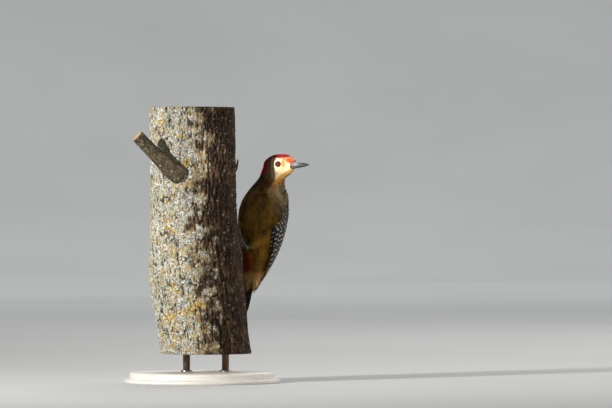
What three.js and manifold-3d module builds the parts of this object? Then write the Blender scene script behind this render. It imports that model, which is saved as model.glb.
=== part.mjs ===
// A male red-bellied woodpecker, life size, clinging upright to a short cut length of trunk that
// stands on two rods and a flat round base. Millimetres, +Z up, origin under the base's centre.
// The bird is behind the trunk's right side as seen along +Y, and looks back over its left shoulder.
import * as THREE from "three";
import { mergeVertices } from "three/addons/utils/BufferGeometryUtils.js";
import Module from "manifold-3d";

const wasm = await Module();
wasm.setup();

// ---- driving dimensions, in millimetres, and directions, in degrees round +Z from +X ----

const GAP = 0.3; // kept between pieces that touch
const BASE = { radius: 88, height: 12, bevel: 1.5 };
const ROD = { radius: 4, apart: 44 };
const PERCH = { bottom: 33, top: 311, foot: 4.5, drift: 16.5, driftHeight: 85, radius: 48.5 };
// Swellings of the trunk: height, size, reach up and down, and for a knob its direction and spread.
const SWELLINGS = [
  { z: 105, size: 5, reach: 55 },
  { z: 20, size: 3, reach: 25 },
  { z: 149, size: 4, reach: 13, side: -8, spread: 26 },
  { z: 228, size: 6, reach: 17, side: -104, spread: 24 },
];
const BIRD_SIDE = 34; // where on the trunk the bird clings
const BELLY_FACING = -140;
const HEAD_FACING = -44;
const BILL_ROOT = { x: 104.3, y: 40.4, z: 246.2 };
const BILL_LENGTH = 24;
const GAPE_LEVEL = -0.9; // the bill's middle line at its root, from BILL_ROOT
const GAPE_RISE = 1.1; // how far that line climbs to the tip
const EYE = { behindBill: 16, aside: 10.1, up: 0.9, radius: 3.5 };

// Sections of the body, from the tail coverts up: height, distance of the centre from the trunk's
// axis, half width, depth of the belly side, depth of the back.
const BODY = [
  [91, 63, 0, 0, 0],
  [97, 65, 7.2, 4.6, 3.4],
  [105, 68.2, 11.4, 8, 6.8],
  [114, 71.5, 14, 11.3, 9.6],
  [128, 77.3, 17, 16, 12.8],
  [142, 82.8, 20.5, 20.5, 17],
  [158, 87.8, 24.5, 25.5, 21],
  [176, 91.8, 27.2, 29, 24.5],
  [194, 94.8, 27.8, 30, 25.5],
  [207, 97.2, 26.2, 27, 24],
  [217, 100.4, 22.6, 22.4, 20.8],
  [224, 103.2, 19, 19, 18],
  [230, 107, 16.2, 16.2, 15.6],
  [237, 110, 14.9, 14.8, 14.8],
  [245, 111, 13, 13, 13],
  [252, 111, 0, 0, 0],
];
const BODY_CUTS = [132, 170, 218]; // heights that part vent, belly, breast and neck

// Sections of the head, from the bill back: distance behind the bill's root, half width, up, down.
const HEAD = [
  [-2, 0, 0, 0],
  [1, 4.4, 4.8, 4.8],
  [5, 6.4, 8.6, 8.4],
  [10, 9.2, 11.9, 12],
  [16, 12.2, 12.8, 15.2],
  [23, 14.2, 12.9, 16.5],
  [30, 14.3, 12.3, 16.5],
  [36.5, 12.3, 9.7, 14],
  [41.5, 9, 6.1, 10],
  [45, 0, 0, 0],
];

// Sections of the bill, from inside the head to the tip: distance ahead of its root, half width,
// depth of the upper and of the lower half.
const BILL = [
  [-7, 0, 0, 0],
  [-5, 3.6, 4.3, 3.2],
  [0, 3.9, 4.5, 3.3],
  [7, 3.2, 3.3, 2.8],
  [14, 2.4, 2.3, 2.1],
  [20, 1.6, 1.4, 1.3],
  [BILL_LENGTH - 1, 0.9, 0.7, 0.7],
  [BILL_LENGTH, 0, 0, 0],
];

// Sections of a folded wing, from the tip up: height, angle of the front edge and of the back edge
// round the body from the belly's middle, half width, depth of the back, thickness.
const WING = [
  [99, 128, 140, 10.5, 7.4, 0.8],
  [104, 121, 148, 13, 9.6, 1],
  [113, 112, 159, 16.2, 12.4, 1.4],
  [126, 101, 170, 20.4, 16.6, 1.8],
  [137, 91, 173, 23.6, 19.4, 2],
  [150, 86, 173, 26.6, 22.6, 2.3],
  [161, 80, 170, 28.4, 24.8, 2.5],
  [175, 76, 165, 30.2, 27.2, 2.5],
  [185, 88, 160, 30.6, 28.2, 2.4],
  [196, 101, 155, 30.2, 28, 2],
  [204, 109, 152, 28.8, 26.8, 1.7],
  [212, 117, 151, 26.4, 24.6, 1.4],
  [218, 127, 146, 23.8, 22.2, 1],
];
const WING_CLEARANCE = 2.5; // over the belly side of the body
const WING_CUT = 152; // height that parts the coverts from the flight feathers

// Sections of the closed tail, from the tip up: height, distance from the trunk's axis, half width,
// thickness, and how far its edges curl towards the trunk.
const TAIL = [
  [66.5, 53.4, 0.8, 1, 0],
  [70, 55, 3, 1.4, 0.2],
  [77, 58.1, 6.6, 1.9, 0.7],
  [86, 61.7, 9.2, 2.2, 1.3],
  [97, 65.6, 10.6, 2.4, 1.6],
  [112, 71, 9.8, 2.4, 1.2],
  [128, 77, 7, 2.4, 0.6],
];

// Each foot: its side of the bird, where it grips, round the trunk and up it, and its heel's height.
const FEET = {
  left: { side: 1, grip: 13, z: 164, heelZ: 149 },
  right: { side: -1, grip: 54, z: 167, heelZ: 151 },
};
const HEEL = { aside: 15, belly: 27.5 }; // from the body's middle line
const KNEE = { aside: 15, belly: 10, rise: 17 };
const TARSUS = { radii: [2, 1.5, 2.2] };
const THIGH = { radii: [8.5, 6.8, 2.6], stop: 0.9 }; // stop: where it ends between knee and heel
// A toe's line: share of its length, lift over the bark beside its radius, share of its radius.
const TOE_LINE = [
  [0.12, 0.9, 1.1],
  [0.35, 0.6, 1],
  [0.7, 0, 0.95],
  [1, 0, 0.8],
];
// A claw's line: distance past the toe's end, height over the bark, radius.
const CLAW_LINE = [
  [-1, 1.9, 1.05],
  [2, 2.6, 0.9],
  [5, 0.65, 0.3],
];
// Toes: direction over the bark from straight up, positive away from the other foot, and size.
const TOES = {
  inner_front: { turn: -24, length: 10.5, radius: 1.25 },
  outer_front: { turn: 14, length: 15, radius: 1.35 },
  outer_side: { turn: 74, length: 14, radius: 1.35 },
  hind: { turn: 168, length: 7.5, radius: 1.15 },
};

// The sawn branch: where it leaves the trunk, the way it leans, its length before and after the
// saw, how far it sags between its ends, and its radius at shares of its length.
const STUB = { side: -98, z: 229, buried: 10, lean: [-0.72, -0.19, 0.66], length: 84, sawn: 75, sag: 3.5 };
const STUB_RADII = [
  [0, 13],
  [0.15, 11.5],
  [0.45, 8.5],
  [0.75, 7.7],
  [1, 7.4],
];
const SNAG = { side: 14, z: 234, buried: 3, lean: [6.5, -1, 20], bow: 1.6, radii: [2, 2, 0.6] };

// How finely each form is divided: around or across it, then along it.
const FINENESS = {
  trunk: [36, 15],
  stub: [14, 10],
  snag: [7, 7],
  body: [24, 30],
  head: [20, 18],
  bill: [12, 11],
  eye: [14, 9],
  wing: [7, 17],
  tail: [6, 10],
  thigh: [12, 8],
  tarsus: [8, 8],
  toe: [7, 6],
  claw: [6, 6],
  base: 40,
  rod: 20,
};

// ---- vectors and smooth tables ----

const vec = (x, y, z) => new THREE.Vector3(x, y, z);
const UP = vec(0, 0, 1);
const rad = THREE.MathUtils.degToRad;
const degrees = THREE.MathUtils.radToDeg;
const lerp = THREE.MathUtils.lerp;
const heading = (angle) => vec(Math.cos(rad(angle)), Math.sin(rad(angle)), 0);
const OUT = heading(BIRD_SIDE);
const BELLY = heading(BELLY_FACING);
const LEFT = heading(BELLY_FACING + 90);
const FACE = heading(HEAD_FACING);
const FACE_LEFT = heading(HEAD_FACING + 90);

// A smooth function through rows whose first value rises; it gives the others.
function table(rows) {
  const at = rows.map((row) => row[0]);
  const values = rows.flatMap((row) => row.slice(1));
  const curve = new THREE.CubicInterpolant(at, values, rows[0].length - 1);
  return (x) => [...curve.evaluate(x)];
}

const bodyAt = table(BODY);
const headAt = table(HEAD);
const billAt = table(BILL);
const wingAt = table(WING);
const tailAt = table(TAIL);
const first = (rows) => rows[0][0];
const last = (rows) => rows[rows.length - 1][0];

// ---- solids ----

function solidOf(geometry) {
  const bare = geometry.clone();
  bare.deleteAttribute("normal");
  bare.deleteAttribute("uv");
  const merged = mergeVertices(bare, 1e-4);
  const corners = new Uint32Array(merged.index.array);
  const mesh = { numProp: 3, vertProperties: merged.attributes.position.array, triVerts: corners };
  const solid = new wasm.Manifold(new wasm.Mesh(mesh));
  if (solid.volume() > 0) return solid;
  for (let i = 0; i < corners.length; i += 3) {
    [corners[i + 1], corners[i + 2]] = [corners[i + 2], corners[i + 1]];
  }
  return new wasm.Manifold(new wasm.Mesh(mesh));
}

function geometryOf(solid) {
  const mesh = solid.getMesh();
  const geometry = new THREE.BufferGeometry();
  const points = Array.from({ length: mesh.numVert * 3 }, (_, i) => {
    return mesh.vertProperties[Math.floor(i / 3) * mesh.numProp + (i % 3)];
  });
  geometry.setAttribute("position", new THREE.Float32BufferAttribute(points, 3));
  geometry.setIndex([...mesh.triVerts]);
  return geometry;
}

const lowest = (solid) => solid.boundingBox().min[2];
const upwards = (solid) => solid.decompose().sort((a, b) => lowest(a) - lowest(b));
const largest = (solid) => solid.decompose().sort((a, b) => b.volume() - a.volume())[0];

// What is left of a solid beside its neighbours, which are already grown by the gap.
const beside = (solid, ...grown) => largest(grown.reduce((left, other) => left.subtract(other), solid));

// A closed round form: at(turn, along) gives each point, with along from 0 to 1 between its poles.
function round(at, [around, along]) {
  const sphere = new THREE.SphereGeometry(1, around, along);
  const points = sphere.attributes.position;
  for (let i = 0; i < points.count; i++) {
    const turn = ((i % (around + 1)) / around) * 2 * Math.PI;
    const point = at(turn, Math.floor(i / (around + 1)) / along);
    points.setXYZ(i, point.x, point.y, point.z);
  }
  return solidOf(sphere);
}

// A closed thick sheet: at(across, along, depth) gives each point, all three from 0 to 1.
function sheet(at, [across, along]) {
  const box = new THREE.BoxGeometry(1, 1, 1, across, along, 1);
  const points = box.attributes.position;
  for (let i = 0; i < points.count; i++) {
    const point = at(points.getX(i) + 0.5, points.getY(i) + 0.5, points.getZ(i) + 0.5);
    points.setXYZ(i, point.x, point.y, point.z);
  }
  return solidOf(box);
}

// A limb along a smooth line through some points, each with its radius.
function limb(points, radii, fineness, grow = 0) {
  const line = new THREE.CatmullRomCurve3(points);
  const widthAt = table(radii.map((r, i) => [i / (radii.length - 1), r]));
  const frames = line.computeFrenetFrames(fineness[1]);
  return round((turn, t) => {
    const i = Math.round(t * fineness[1]);
    const end = t === 0 || t === 1 ? Math.sign(t - 0.5) : 0;
    const radius = end ? 0 : widthAt(t)[0] + grow;
    return line
      .getPointAt(t)
      .addScaledVector(frames.normals[i], Math.cos(turn) * radius)
      .addScaledVector(frames.binormals[i], Math.sin(turn) * radius)
      .addScaledVector(frames.tangents[i], end * grow);
  }, fineness);
}

function block(centre, size, facing = 0) {
  const box = new THREE.BoxGeometry(...size);
  box.rotateZ(rad(facing));
  box.translate(centre.x, centre.y, centre.z);
  return solidOf(box);
}

const slabAt = (z) => block(vec(0, 0, z), [600, 600, GAP]);

// ---- the perch ----

function perchAxis(z) {
  const climbed = 1 - Math.exp(-(z - PERCH.bottom) / PERCH.driftHeight);
  return vec(PERCH.foot - PERCH.drift * climbed, 0, z);
}

const bump = (x, reach) => Math.exp(-((x / reach) ** 2));

function perchRadius(z, turn) {
  const swelling = SWELLINGS.reduce((sum, s) => {
    const aside = s.spread ? (2 * Math.sin((turn - rad(s.side)) / 2)) / rad(s.spread) : 0;
    return sum + s.size * bump(z - s.z, s.reach) * bump(aside, 1);
  }, 0);
  const lumps = Math.sin(3 * turn + z / 31) + 0.6 * Math.sin(5 * turn - z / 17);
  return PERCH.radius + swelling + 0.6 * lumps;
}

// The point over the bark at a direction round the trunk, a height and a lift above it.
function onBark(side, z, lift = 0) {
  return perchAxis(z).addScaledVector(heading(side), perchRadius(z, rad(side)) + lift);
}

function perchTrunk(grow = 0) {
  const log = new THREE.CylinderGeometry(1, 1, 1, ...FINENESS.trunk).rotateX(Math.PI / 2);
  const points = log.attributes.position;
  for (let i = 0; i < points.count; i++) {
    const [x, y, up] = [points.getX(i), points.getY(i), points.getZ(i) + 0.5];
    const z = lerp(PERCH.bottom - grow, PERCH.top + grow, up);
    const turn = Math.atan2(y, x);
    const reach = (perchRadius(z, turn) + grow) * Math.hypot(x, y);
    const point = perchAxis(z).addScaledVector(heading(degrees(turn)), reach);
    points.setXYZ(i, point.x, point.y, z);
  }
  return solidOf(log);
}

function branchStub() {
  const lean = vec(...STUB.lean).normalize();
  const root = onBark(STUB.side, STUB.z, -STUB.buried);
  const along = (length) => root.clone().addScaledVector(lean, length);
  const sagged = (t) => along(t * STUB.length).addScaledVector(UP, -STUB.sag * Math.sin(Math.PI * t));
  const path = STUB_RADII.map(([t]) => sagged(t));
  const branch = limb(path, STUB_RADII.map(([, radius]) => radius), FINENESS.stub);
  const waste = 4 * STUB_RADII[0][1];
  const turned = new THREE.Quaternion().setFromUnitVectors(vec(1, 0, 0), lean);
  const sawnOff = new THREE.BoxGeometry(waste, waste, waste).applyQuaternion(turned);
  sawnOff.translate(...along(STUB.sawn + waste / 2).toArray());
  return branch.subtract(solidOf(sawnOff));
}

function snag() {
  const root = onBark(SNAG.side, SNAG.z, -SNAG.buried);
  const tip = root.clone().add(vec(...SNAG.lean));
  const middle = root.clone().lerp(tip, 0.5).add(vec(SNAG.bow, 0, 0));
  return limb([root, middle, tip], SNAG.radii, FINENESS.snag);
}

// ---- the bird ----

const bodyCentre = (z) => perchAxis(z).addScaledVector(OUT, bodyAt(z)[0]);

// The point on the body at a height and an angle round it from the belly's middle to its left.
function onBody(z, turn, grow) {
  const [, side, belly, back] = bodyAt(z);
  const depth = Math.cos(turn) > 0 ? belly : back;
  const open = side > 0.01 ? grow : 0;
  return bodyCentre(z)
    .addScaledVector(BELLY, Math.cos(turn) * (depth + open))
    .addScaledVector(LEFT, Math.sin(turn) * (side + open));
}

function body(grow = 0) {
  return round((turn, t) => {
    const z = lerp(first(BODY), last(BODY), t);
    const ended = t === 0 || t === 1;
    return ended ? bodyCentre(z).addScaledVector(UP, (t - 0.5) * 2 * grow) : onBody(z, turn, grow);
  }, FINENESS.body);
}

// The point on the head at a distance behind the bill's root and an angle round it from the crown.
function head(grow = 0) {
  return round((turn, t) => {
    const behind = lerp(first(HEAD), last(HEAD), t);
    const ended = t === 0 || t === 1;
    const [side, up, down] = ended ? [0, 0, 0] : headAt(behind).map((r) => r + grow);
    return vec(BILL_ROOT.x, BILL_ROOT.y, BILL_ROOT.z)
      .addScaledVector(FACE, -behind - (ended ? (t - 0.5) * 2 * grow : 0))
      .addScaledVector(UP, Math.cos(turn) * (Math.cos(turn) > 0 ? up : down))
      .addScaledVector(FACE_LEFT, Math.sin(turn) * side);
  }, FINENESS.head);
}

function bill(grow = 0) {
  return round((turn, t) => {
    const ahead = lerp(first(BILL), last(BILL), t);
    const ended = t === 0 || t === 1;
    const [side, up, down] = ended ? [0, 0, 0] : billAt(ahead).map((r) => r + grow);
    const climb = GAPE_LEVEL + (GAPE_RISE * ahead) / BILL_LENGTH;
    return vec(BILL_ROOT.x, BILL_ROOT.y, BILL_ROOT.z + climb)
      .addScaledVector(FACE, ahead + (ended ? (t - 0.5) * 2 * grow : 0))
      .addScaledVector(UP, Math.cos(turn) * (Math.cos(turn) > 0 ? up : down))
      .addScaledVector(FACE_LEFT, Math.sin(turn) * side);
  }, FINENESS.bill);
}

function eye(side, grow = 0) {
  const ball = new THREE.SphereGeometry(EYE.radius + grow, ...FINENESS.eye);
  const centre = vec(BILL_ROOT.x, BILL_ROOT.y, BILL_ROOT.z + EYE.up)
    .addScaledVector(FACE, -EYE.behindBill)
    .addScaledVector(FACE_LEFT, side * EYE.aside);
  ball.translate(centre.x, centre.y, centre.z);
  return solidOf(ball);
}

function wing(side) {
  return sheet((across, along, depth) => {
    const z = lerp(first(WING), last(WING), along);
    const [front, rear, half, back, thick] = wingAt(z);
    const turn = rad(lerp(front, rear, across));
    const inset = thick * (0.4 + 0.6 * Math.sin(Math.PI * across)) * (1 - depth);
    const reach = Math.cos(turn) > 0 ? bodyAt(z)[2] + WING_CLEARANCE : back;
    return bodyCentre(z)
      .addScaledVector(BELLY, Math.cos(turn) * (reach - inset))
      .addScaledVector(LEFT, side * Math.sin(turn) * (half - inset));
  }, FINENESS.wing);
}

function tail() {
  return sheet((across, along, depth) => {
    const z = lerp(first(TAIL), last(TAIL), along);
    const [out, half, thick, curl] = tailAt(z);
    const aside = 2 * across - 1;
    return perchAxis(z)
      .addScaledVector(OUT, out)
      .addScaledVector(LEFT, aside * half)
      .addScaledVector(BELLY, curl * aside ** 2 + thick * (0.5 - depth));
  }, FINENESS.tail);
}

// One leg's pieces, each cut clear of those before it.
function leg(name, spec, bodyGrown, trunkGrown) {
  const joint = (z, from) => {
    return bodyCentre(z).addScaledVector(BELLY, from.belly).addScaledVector(LEFT, spec.side * from.aside);
  };
  const heel = joint(spec.heelZ, HEEL);
  const knee = joint(spec.heelZ + KNEE.rise, KNEE);
  const ball = TARSUS.radii[2];
  const grip = onBark(spec.grip, spec.z, ball + GAP);
  const between = (a, b, t) => a.clone().lerp(b, t);
  const shank = (grow) => limb([heel, between(heel, grip, 0.5), grip], TARSUS.radii, FINENESS.tarsus, grow);
  const thighLine = [knee, between(knee, heel, THIGH.stop / 2), between(knee, heel, THIGH.stop)];
  const pieces = {
    [`thigh_${name}`]: beside(limb(thighLine, THIGH.radii, FINENESS.thigh), bodyGrown, shank(GAP)),
    [`tarsus_${name}`]: beside(shank(0), bodyGrown, trunkGrown),
  };
  const taken = [shank(GAP), trunkGrown];
  for (const [toeName, toe] of Object.entries(TOES)) {
    const step = (distance, lift) => {
      const aside = degrees((distance * Math.sin(rad(toe.turn))) / PERCH.radius);
      return onBark(spec.grip - spec.side * aside, spec.z + distance * Math.cos(rad(toe.turn)), lift);
    };
    const toeLine = TOE_LINE.map(([share, lift]) => step(share * toe.length, lift + toe.radius + GAP));
    const toeRadii = TOE_LINE.map(([, , share]) => share * toe.radius);
    const flesh = (grow) => limb(toeLine, toeRadii, FINENESS.toe, grow);
    const clawLine = CLAW_LINE.map(([past, height]) => step(toe.length + past, height));
    const claw = limb(clawLine, CLAW_LINE.map(([, , radius]) => radius), FINENESS.claw);
    pieces[`toe_${name}_${toeName}`] = beside(flesh(0), ...taken);
    pieces[`claw_${name}_${toeName}`] = beside(claw, flesh(GAP), ...taken);
    taken.push(flesh(GAP));
  }
  return pieces;
}

// ---- the stand ----

function standBase() {
  const { radius, height, bevel } = BASE;
  const profile = [
    [0, 0],
    [radius - bevel, 0],
    [radius, bevel],
    [radius, height - bevel],
    [radius - bevel, height],
    [0, height],
  ].map(([r, z]) => new THREE.Vector2(r, z));
  return solidOf(new THREE.LatheGeometry(profile, FINENESS.base).rotateX(Math.PI / 2));
}

function rod(side) {
  const [low, high] = [BASE.height + GAP, PERCH.bottom - GAP];
  const shape = new THREE.CylinderGeometry(ROD.radius, ROD.radius, high - low, FINENESS.rod);
  shape.rotateX(Math.PI / 2).translate(PERCH.foot + (side * ROD.apart) / 2, 0, (low + high) / 2);
  return solidOf(shape);
}

// ---- finishes ----

function finish(color, roughness, metalness = 0) {
  return new THREE.MeshStandardMaterial({ color, roughness, metalness });
}
const FINISH = {
  grey: finish("#b9ac98", 0.85),
  face: finish("#d8c3a2", 0.85),
  barred: finish("#35322f", 0.7),
  black: finish("#1d1c1d", 0.65),
  horn: finish("#3c3d40", 0.4),
  eye: finish("#3a0f0c", 0.08),
  skin: finish("#6f6f62", 0.6),
  bark: finish("#8f8573", 0.95),
  lacquer: finish("#c9c7c1", 0.5),
  steel: finish("#a8abad", 0.3, 1),
};

// ---- the whole ----

const whole = new THREE.Group();

function add(name, solid, material) {
  const mesh = new THREE.Mesh(geometryOf(solid), material);
  mesh.name = name;
  whole.add(mesh);
}

const trunkGrown = perchTrunk(GAP);
add("perch_trunk", perchTrunk(), FINISH.bark);
add("perch_branch_stub", beside(branchStub(), trunkGrown), FINISH.bark);
add("perch_snag", beside(snag(), trunkGrown), FINISH.bark);
add("stand_base", standBase(), FINISH.lacquer);
add("stand_rod_left", rod(-1), FINISH.steel);
add("stand_rod_right", rod(1), FINISH.steel);

const bodyGrown = body(GAP);
const headGrown = head(GAP);
const trunkOfBird = BODY_CUTS.reduce((left, z) => left.subtract(slabAt(z)), body());
const sections = upwards(trunkOfBird);
["vent", "belly", "breast"].forEach((name, i) => add(name, sections[i], FINISH.grey));
add("neck", beside(sections[3], headGrown), FINISH.grey);
add("head", beside(head(), bill(GAP), eye(1, GAP), eye(-1, GAP)), FINISH.face);

const mouthMiddle = vec(BILL_ROOT.x, BILL_ROOT.y, BILL_ROOT.z + GAPE_LEVEL + GAPE_RISE / 2);
mouthMiddle.addScaledVector(FACE, BILL_LENGTH / 2);
const mouth = block(mouthMiddle, [3 * BILL_LENGTH, BILL_LENGTH, GAP], HEAD_FACING);
const [lowerBill, upperBill] = upwards(bill().subtract(mouth));
add("bill_upper", upperBill, FINISH.horn);
add("bill_lower", lowerBill, FINISH.horn);
add("eye_left", eye(1), FINISH.eye);
add("eye_right", eye(-1), FINISH.eye);

add("tail", beside(tail(), bodyGrown, trunkGrown), FINISH.black);
for (const [name, side] of [["left", 1], ["right", -1]]) {
  const folded = beside(wing(side), bodyGrown);
  const [low, high] = upwards(folded.subtract(slabAt(WING_CUT)));
  add(`wing_${name}_flight`, low, FINISH.barred);
  add(`wing_${name}_coverts`, high, FINISH.barred);
}
const LEG_FINISH = { thigh: FINISH.grey, tarsus: FINISH.skin, toe: FINISH.skin, claw: FINISH.horn };
for (const [name, spec] of Object.entries(FEET)) {
  for (const [piece, solid] of Object.entries(leg(name, spec, bodyGrown, trunkGrown))) {
    add(piece, solid, LEG_FINISH[piece.split("_")[0]]);
  }
}

export default whole;
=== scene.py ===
import math

import bmesh
import bpy
import numpy as np
from mathutils import Matrix, Vector, noise
from mathutils.bvhtree import BVHTree


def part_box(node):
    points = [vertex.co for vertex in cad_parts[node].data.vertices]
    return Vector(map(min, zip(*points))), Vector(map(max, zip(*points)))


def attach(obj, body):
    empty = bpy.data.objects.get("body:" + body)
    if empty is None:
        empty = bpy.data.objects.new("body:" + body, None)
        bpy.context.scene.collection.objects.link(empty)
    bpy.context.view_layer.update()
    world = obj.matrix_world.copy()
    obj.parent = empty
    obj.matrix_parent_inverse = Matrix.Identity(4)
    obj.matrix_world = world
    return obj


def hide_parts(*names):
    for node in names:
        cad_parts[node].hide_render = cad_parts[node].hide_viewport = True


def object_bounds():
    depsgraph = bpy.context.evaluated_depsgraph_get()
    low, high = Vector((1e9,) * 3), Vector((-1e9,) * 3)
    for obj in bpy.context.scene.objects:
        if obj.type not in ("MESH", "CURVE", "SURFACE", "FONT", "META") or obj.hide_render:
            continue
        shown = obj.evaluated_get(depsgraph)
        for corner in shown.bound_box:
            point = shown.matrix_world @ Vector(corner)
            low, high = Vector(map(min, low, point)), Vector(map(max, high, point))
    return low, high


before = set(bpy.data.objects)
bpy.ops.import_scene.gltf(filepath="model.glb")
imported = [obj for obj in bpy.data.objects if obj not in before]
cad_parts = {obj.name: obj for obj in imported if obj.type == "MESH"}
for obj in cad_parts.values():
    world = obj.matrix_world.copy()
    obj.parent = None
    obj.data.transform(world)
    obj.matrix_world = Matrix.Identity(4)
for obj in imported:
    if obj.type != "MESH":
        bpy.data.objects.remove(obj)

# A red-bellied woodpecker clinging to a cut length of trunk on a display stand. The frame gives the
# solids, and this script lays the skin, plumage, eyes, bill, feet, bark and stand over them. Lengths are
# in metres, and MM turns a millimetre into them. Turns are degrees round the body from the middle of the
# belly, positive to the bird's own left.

MM = 0.001
UP = Vector((0, 0, 1))
SIDES = {"left": 1, "right": -1}
TORSO = ("head", "neck", "breast", "belly", "vent")
THIGHS = ("thigh_left", "thigh_right")
WINGS = ("wing_left_coverts", "wing_left_flight", "wing_right_coverts", "wing_right_flight")
TOES = ("inner_front", "outer_front", "outer_side", "hind")

SEAM = 0.35 * MM           # half the cut between two solids, and a little more
SKIN_VOXEL = 0.8 * MM
FOOT_VOXEL = 0.26 * MM
COAT_ON_HEAD = 0.9 * MM    # how far the skin lies inside the solids
COAT_ON_BODY = 1.7 * MM
VENT_END = 0.107           # height below which the body is drawn up, so that the tail shows under it
VENT_SLANT = 0.8           # how much higher it ends towards the belly than towards the back
EYE_CLEAR = 2.66           # millimetres round an eye that stay free of feathers
EYE_ROOM = 2.55            # and those that no feather reaches into
BILL_LENGTH = 24.0         # millimetres
VANE_THICKNESS = 0.16 * MM
BAKE_PATCH = 0.003         # the size of one tuft on the bake map
WING_RADIUS = 30           # millimetres from the body's axis to the folded wing, where it is widest
TAIL_RADIUS = 0.010        # a turn of one radian on the tail's surface is this far aside
SCUTE_LENGTH = 1.25        # millimetres from one scute of a toe to the next
PERCH_RADIUS = 50 * MM
BARE_SIDE = -25            # where the bark has no lichen crust and is painted darker as the side in shade, in degrees from +X towards +Y
GROWTH_RINGS = 34
LICHENS = 420
BRISTLES = 260             # tried for over each nostril

CAD_LOW, CAD_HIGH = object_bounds()


# ---- places and directions, all from the frame ----

def heading(degrees):
    """A level direction, in degrees from +X towards +Y."""
    return Vector((math.cos(math.radians(degrees)), math.sin(math.radians(degrees)), 0))


def middle(node):
    low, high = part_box(node)
    return (low + high) / 2


def soft(value, start, end):
    """0 at start and 1 at end, with a smooth rise between them. Works on numbers and on arrays."""
    share = np.clip((np.asarray(value, float) - start) / (end - start), 0, 1)
    return share * share * (3 - 2 * share)


def linear(red, green, blue):
    """A colour given as it looks on a screen, 0 to 255, as the linear values that a shader takes."""
    parts = [((c / 255 + 0.055) / 1.055) ** 2.4 if c > 10 else c / 3294.6 for c in (red, green, blue)]
    return (*parts, 1)


BELLY = heading(-140)
LEFT = heading(-50)
EYE = {side: middle("eye_" + side) for side in SIDES}
FACE_LEFT = (EYE["left"] - EYE["right"]).normalized()
FACE = FACE_LEFT.cross(UP)
EYE_BEHIND_BILL, EYE_ABOVE_BILL = 16, 0.9
BILL_ROOT = (EYE["left"] + EYE["right"]) / 2 + FACE * EYE_BEHIND_BILL * MM - UP * EYE_ABOVE_BILL * MM


def head_place(points):
    """How far points lie behind the bill's root, to the bird's left of it and above it, in millimetres."""
    away = (np.asarray(points) - np.array(BILL_ROOT)) / MM
    return -away @ np.array(FACE), away @ np.array(FACE_LEFT), away[..., 2]


def at_head(behind, aside, up):
    """The point at a head place given in millimetres."""
    return BILL_ROOT - FACE * behind * MM + FACE_LEFT * aside * MM + UP * up * MM


# ---- meshes ----

def mesh_into(shape, added):
    """Moves one bmesh into another."""
    passing = bpy.data.meshes.new("passing")
    added.to_mesh(passing)
    added.free()
    shape.from_mesh(passing)
    bpy.data.meshes.remove(passing)


def tree_of(node):
    """A tree for finding places on a CAD node."""
    copy = merged_copy(node)
    tree = BVHTree.FromBMesh(copy)
    copy.free()
    return tree


def merged_copy(*nodes, swell=0.0):
    """Copies of CAD nodes in one bmesh, their shared corners merged, each pushed out by swell."""
    joined = bmesh.new()
    for node in nodes:
        one = bmesh.new()
        one.from_mesh(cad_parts[node].data)
        bmesh.ops.remove_doubles(one, verts=one.verts, dist=0.01 * MM)
        one.normal_update()
        for vert in one.verts:
            vert.co += vert.normal * swell
        mesh_into(joined, one)
    joined.normal_update()
    return joined


def mesh_from(shape, name):
    """Turns a bmesh into a smooth-shaded mesh and frees it."""
    mesh = bpy.data.meshes.new(name)
    shape.to_mesh(mesh)
    shape.free()
    mesh.shade_smooth()
    return mesh


def remeshed(shape, voxel):
    """The solids in a bmesh as one closed skin of even faces."""
    holder = bpy.data.objects.new("holder", mesh_from(shape, "holder"))
    bpy.context.scene.collection.objects.link(holder)
    remesh = holder.modifiers.new("Remesh", "REMESH")
    remesh.mode = "VOXEL"
    remesh.voxel_size = voxel
    skin = bmesh.new()
    skin.from_object(holder, bpy.context.evaluated_depsgraph_get())
    old = holder.data
    bpy.data.objects.remove(holder)
    bpy.data.meshes.remove(old)
    skin.normal_update()
    return skin


EVERY_AXIS = {"use_axis_x": True, "use_axis_y": True, "use_axis_z": True}


def smoothed(shape, passes, verts=None):
    for _ in range(passes):
        bmesh.ops.smooth_vert(shape, verts=verts or shape.verts, factor=0.5, **EVERY_AXIS)
    shape.normal_update()


def lofted(rings, sides, pointed=True):
    """A closed tube through rings, each a matrix that places a unit circle. A pointed one has a tip."""
    shape = bmesh.new()
    bmesh.ops.create_circle(shape, cap_ends=True, radius=1.0, segments=sides, matrix=rings[0])
    lid = next(iter(shape.faces))
    placed = rings[0]
    for ring in rings[1:]:
        grown = bmesh.ops.extrude_face_region(shape, geom=[lid, *lid.edges, *lid.verts])
        lid = next(part for part in grown["geom"] if isinstance(part, bmesh.types.BMFace))
        bmesh.ops.transform(shape, matrix=ring @ placed.inverted(), verts=lid.verts[:])
        placed = ring
    if pointed:
        bmesh.ops.pointmerge(shape, verts=lid.verts[:], merge_co=placed.to_translation())
    bmesh.ops.recalc_face_normals(shape, faces=shape.faces[:])
    return shape


def across(place, way, half_wide, half_deep, upward=UP):
    """The matrix of an oval ring at a place, square to a way, half_deep in the upward direction."""
    forward = Vector(way).normalized()
    side = Vector(upward).cross(forward).normalized()
    raised = forward.cross(side)
    turned = Matrix((side, raised, forward)).transposed().to_4x4()
    return Matrix.Translation(place) @ turned @ Matrix.Diagonal((half_wide, half_deep, 1, 1))


def quarter(steps):
    """A quarter of an arc in even steps: the sine of each turn, and one less its cosine."""
    turns = [math.radians(90 * step / steps) for step in range(steps + 1)]
    return [(math.sin(turn), 1 - math.cos(turn)) for turn in turns]


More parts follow.
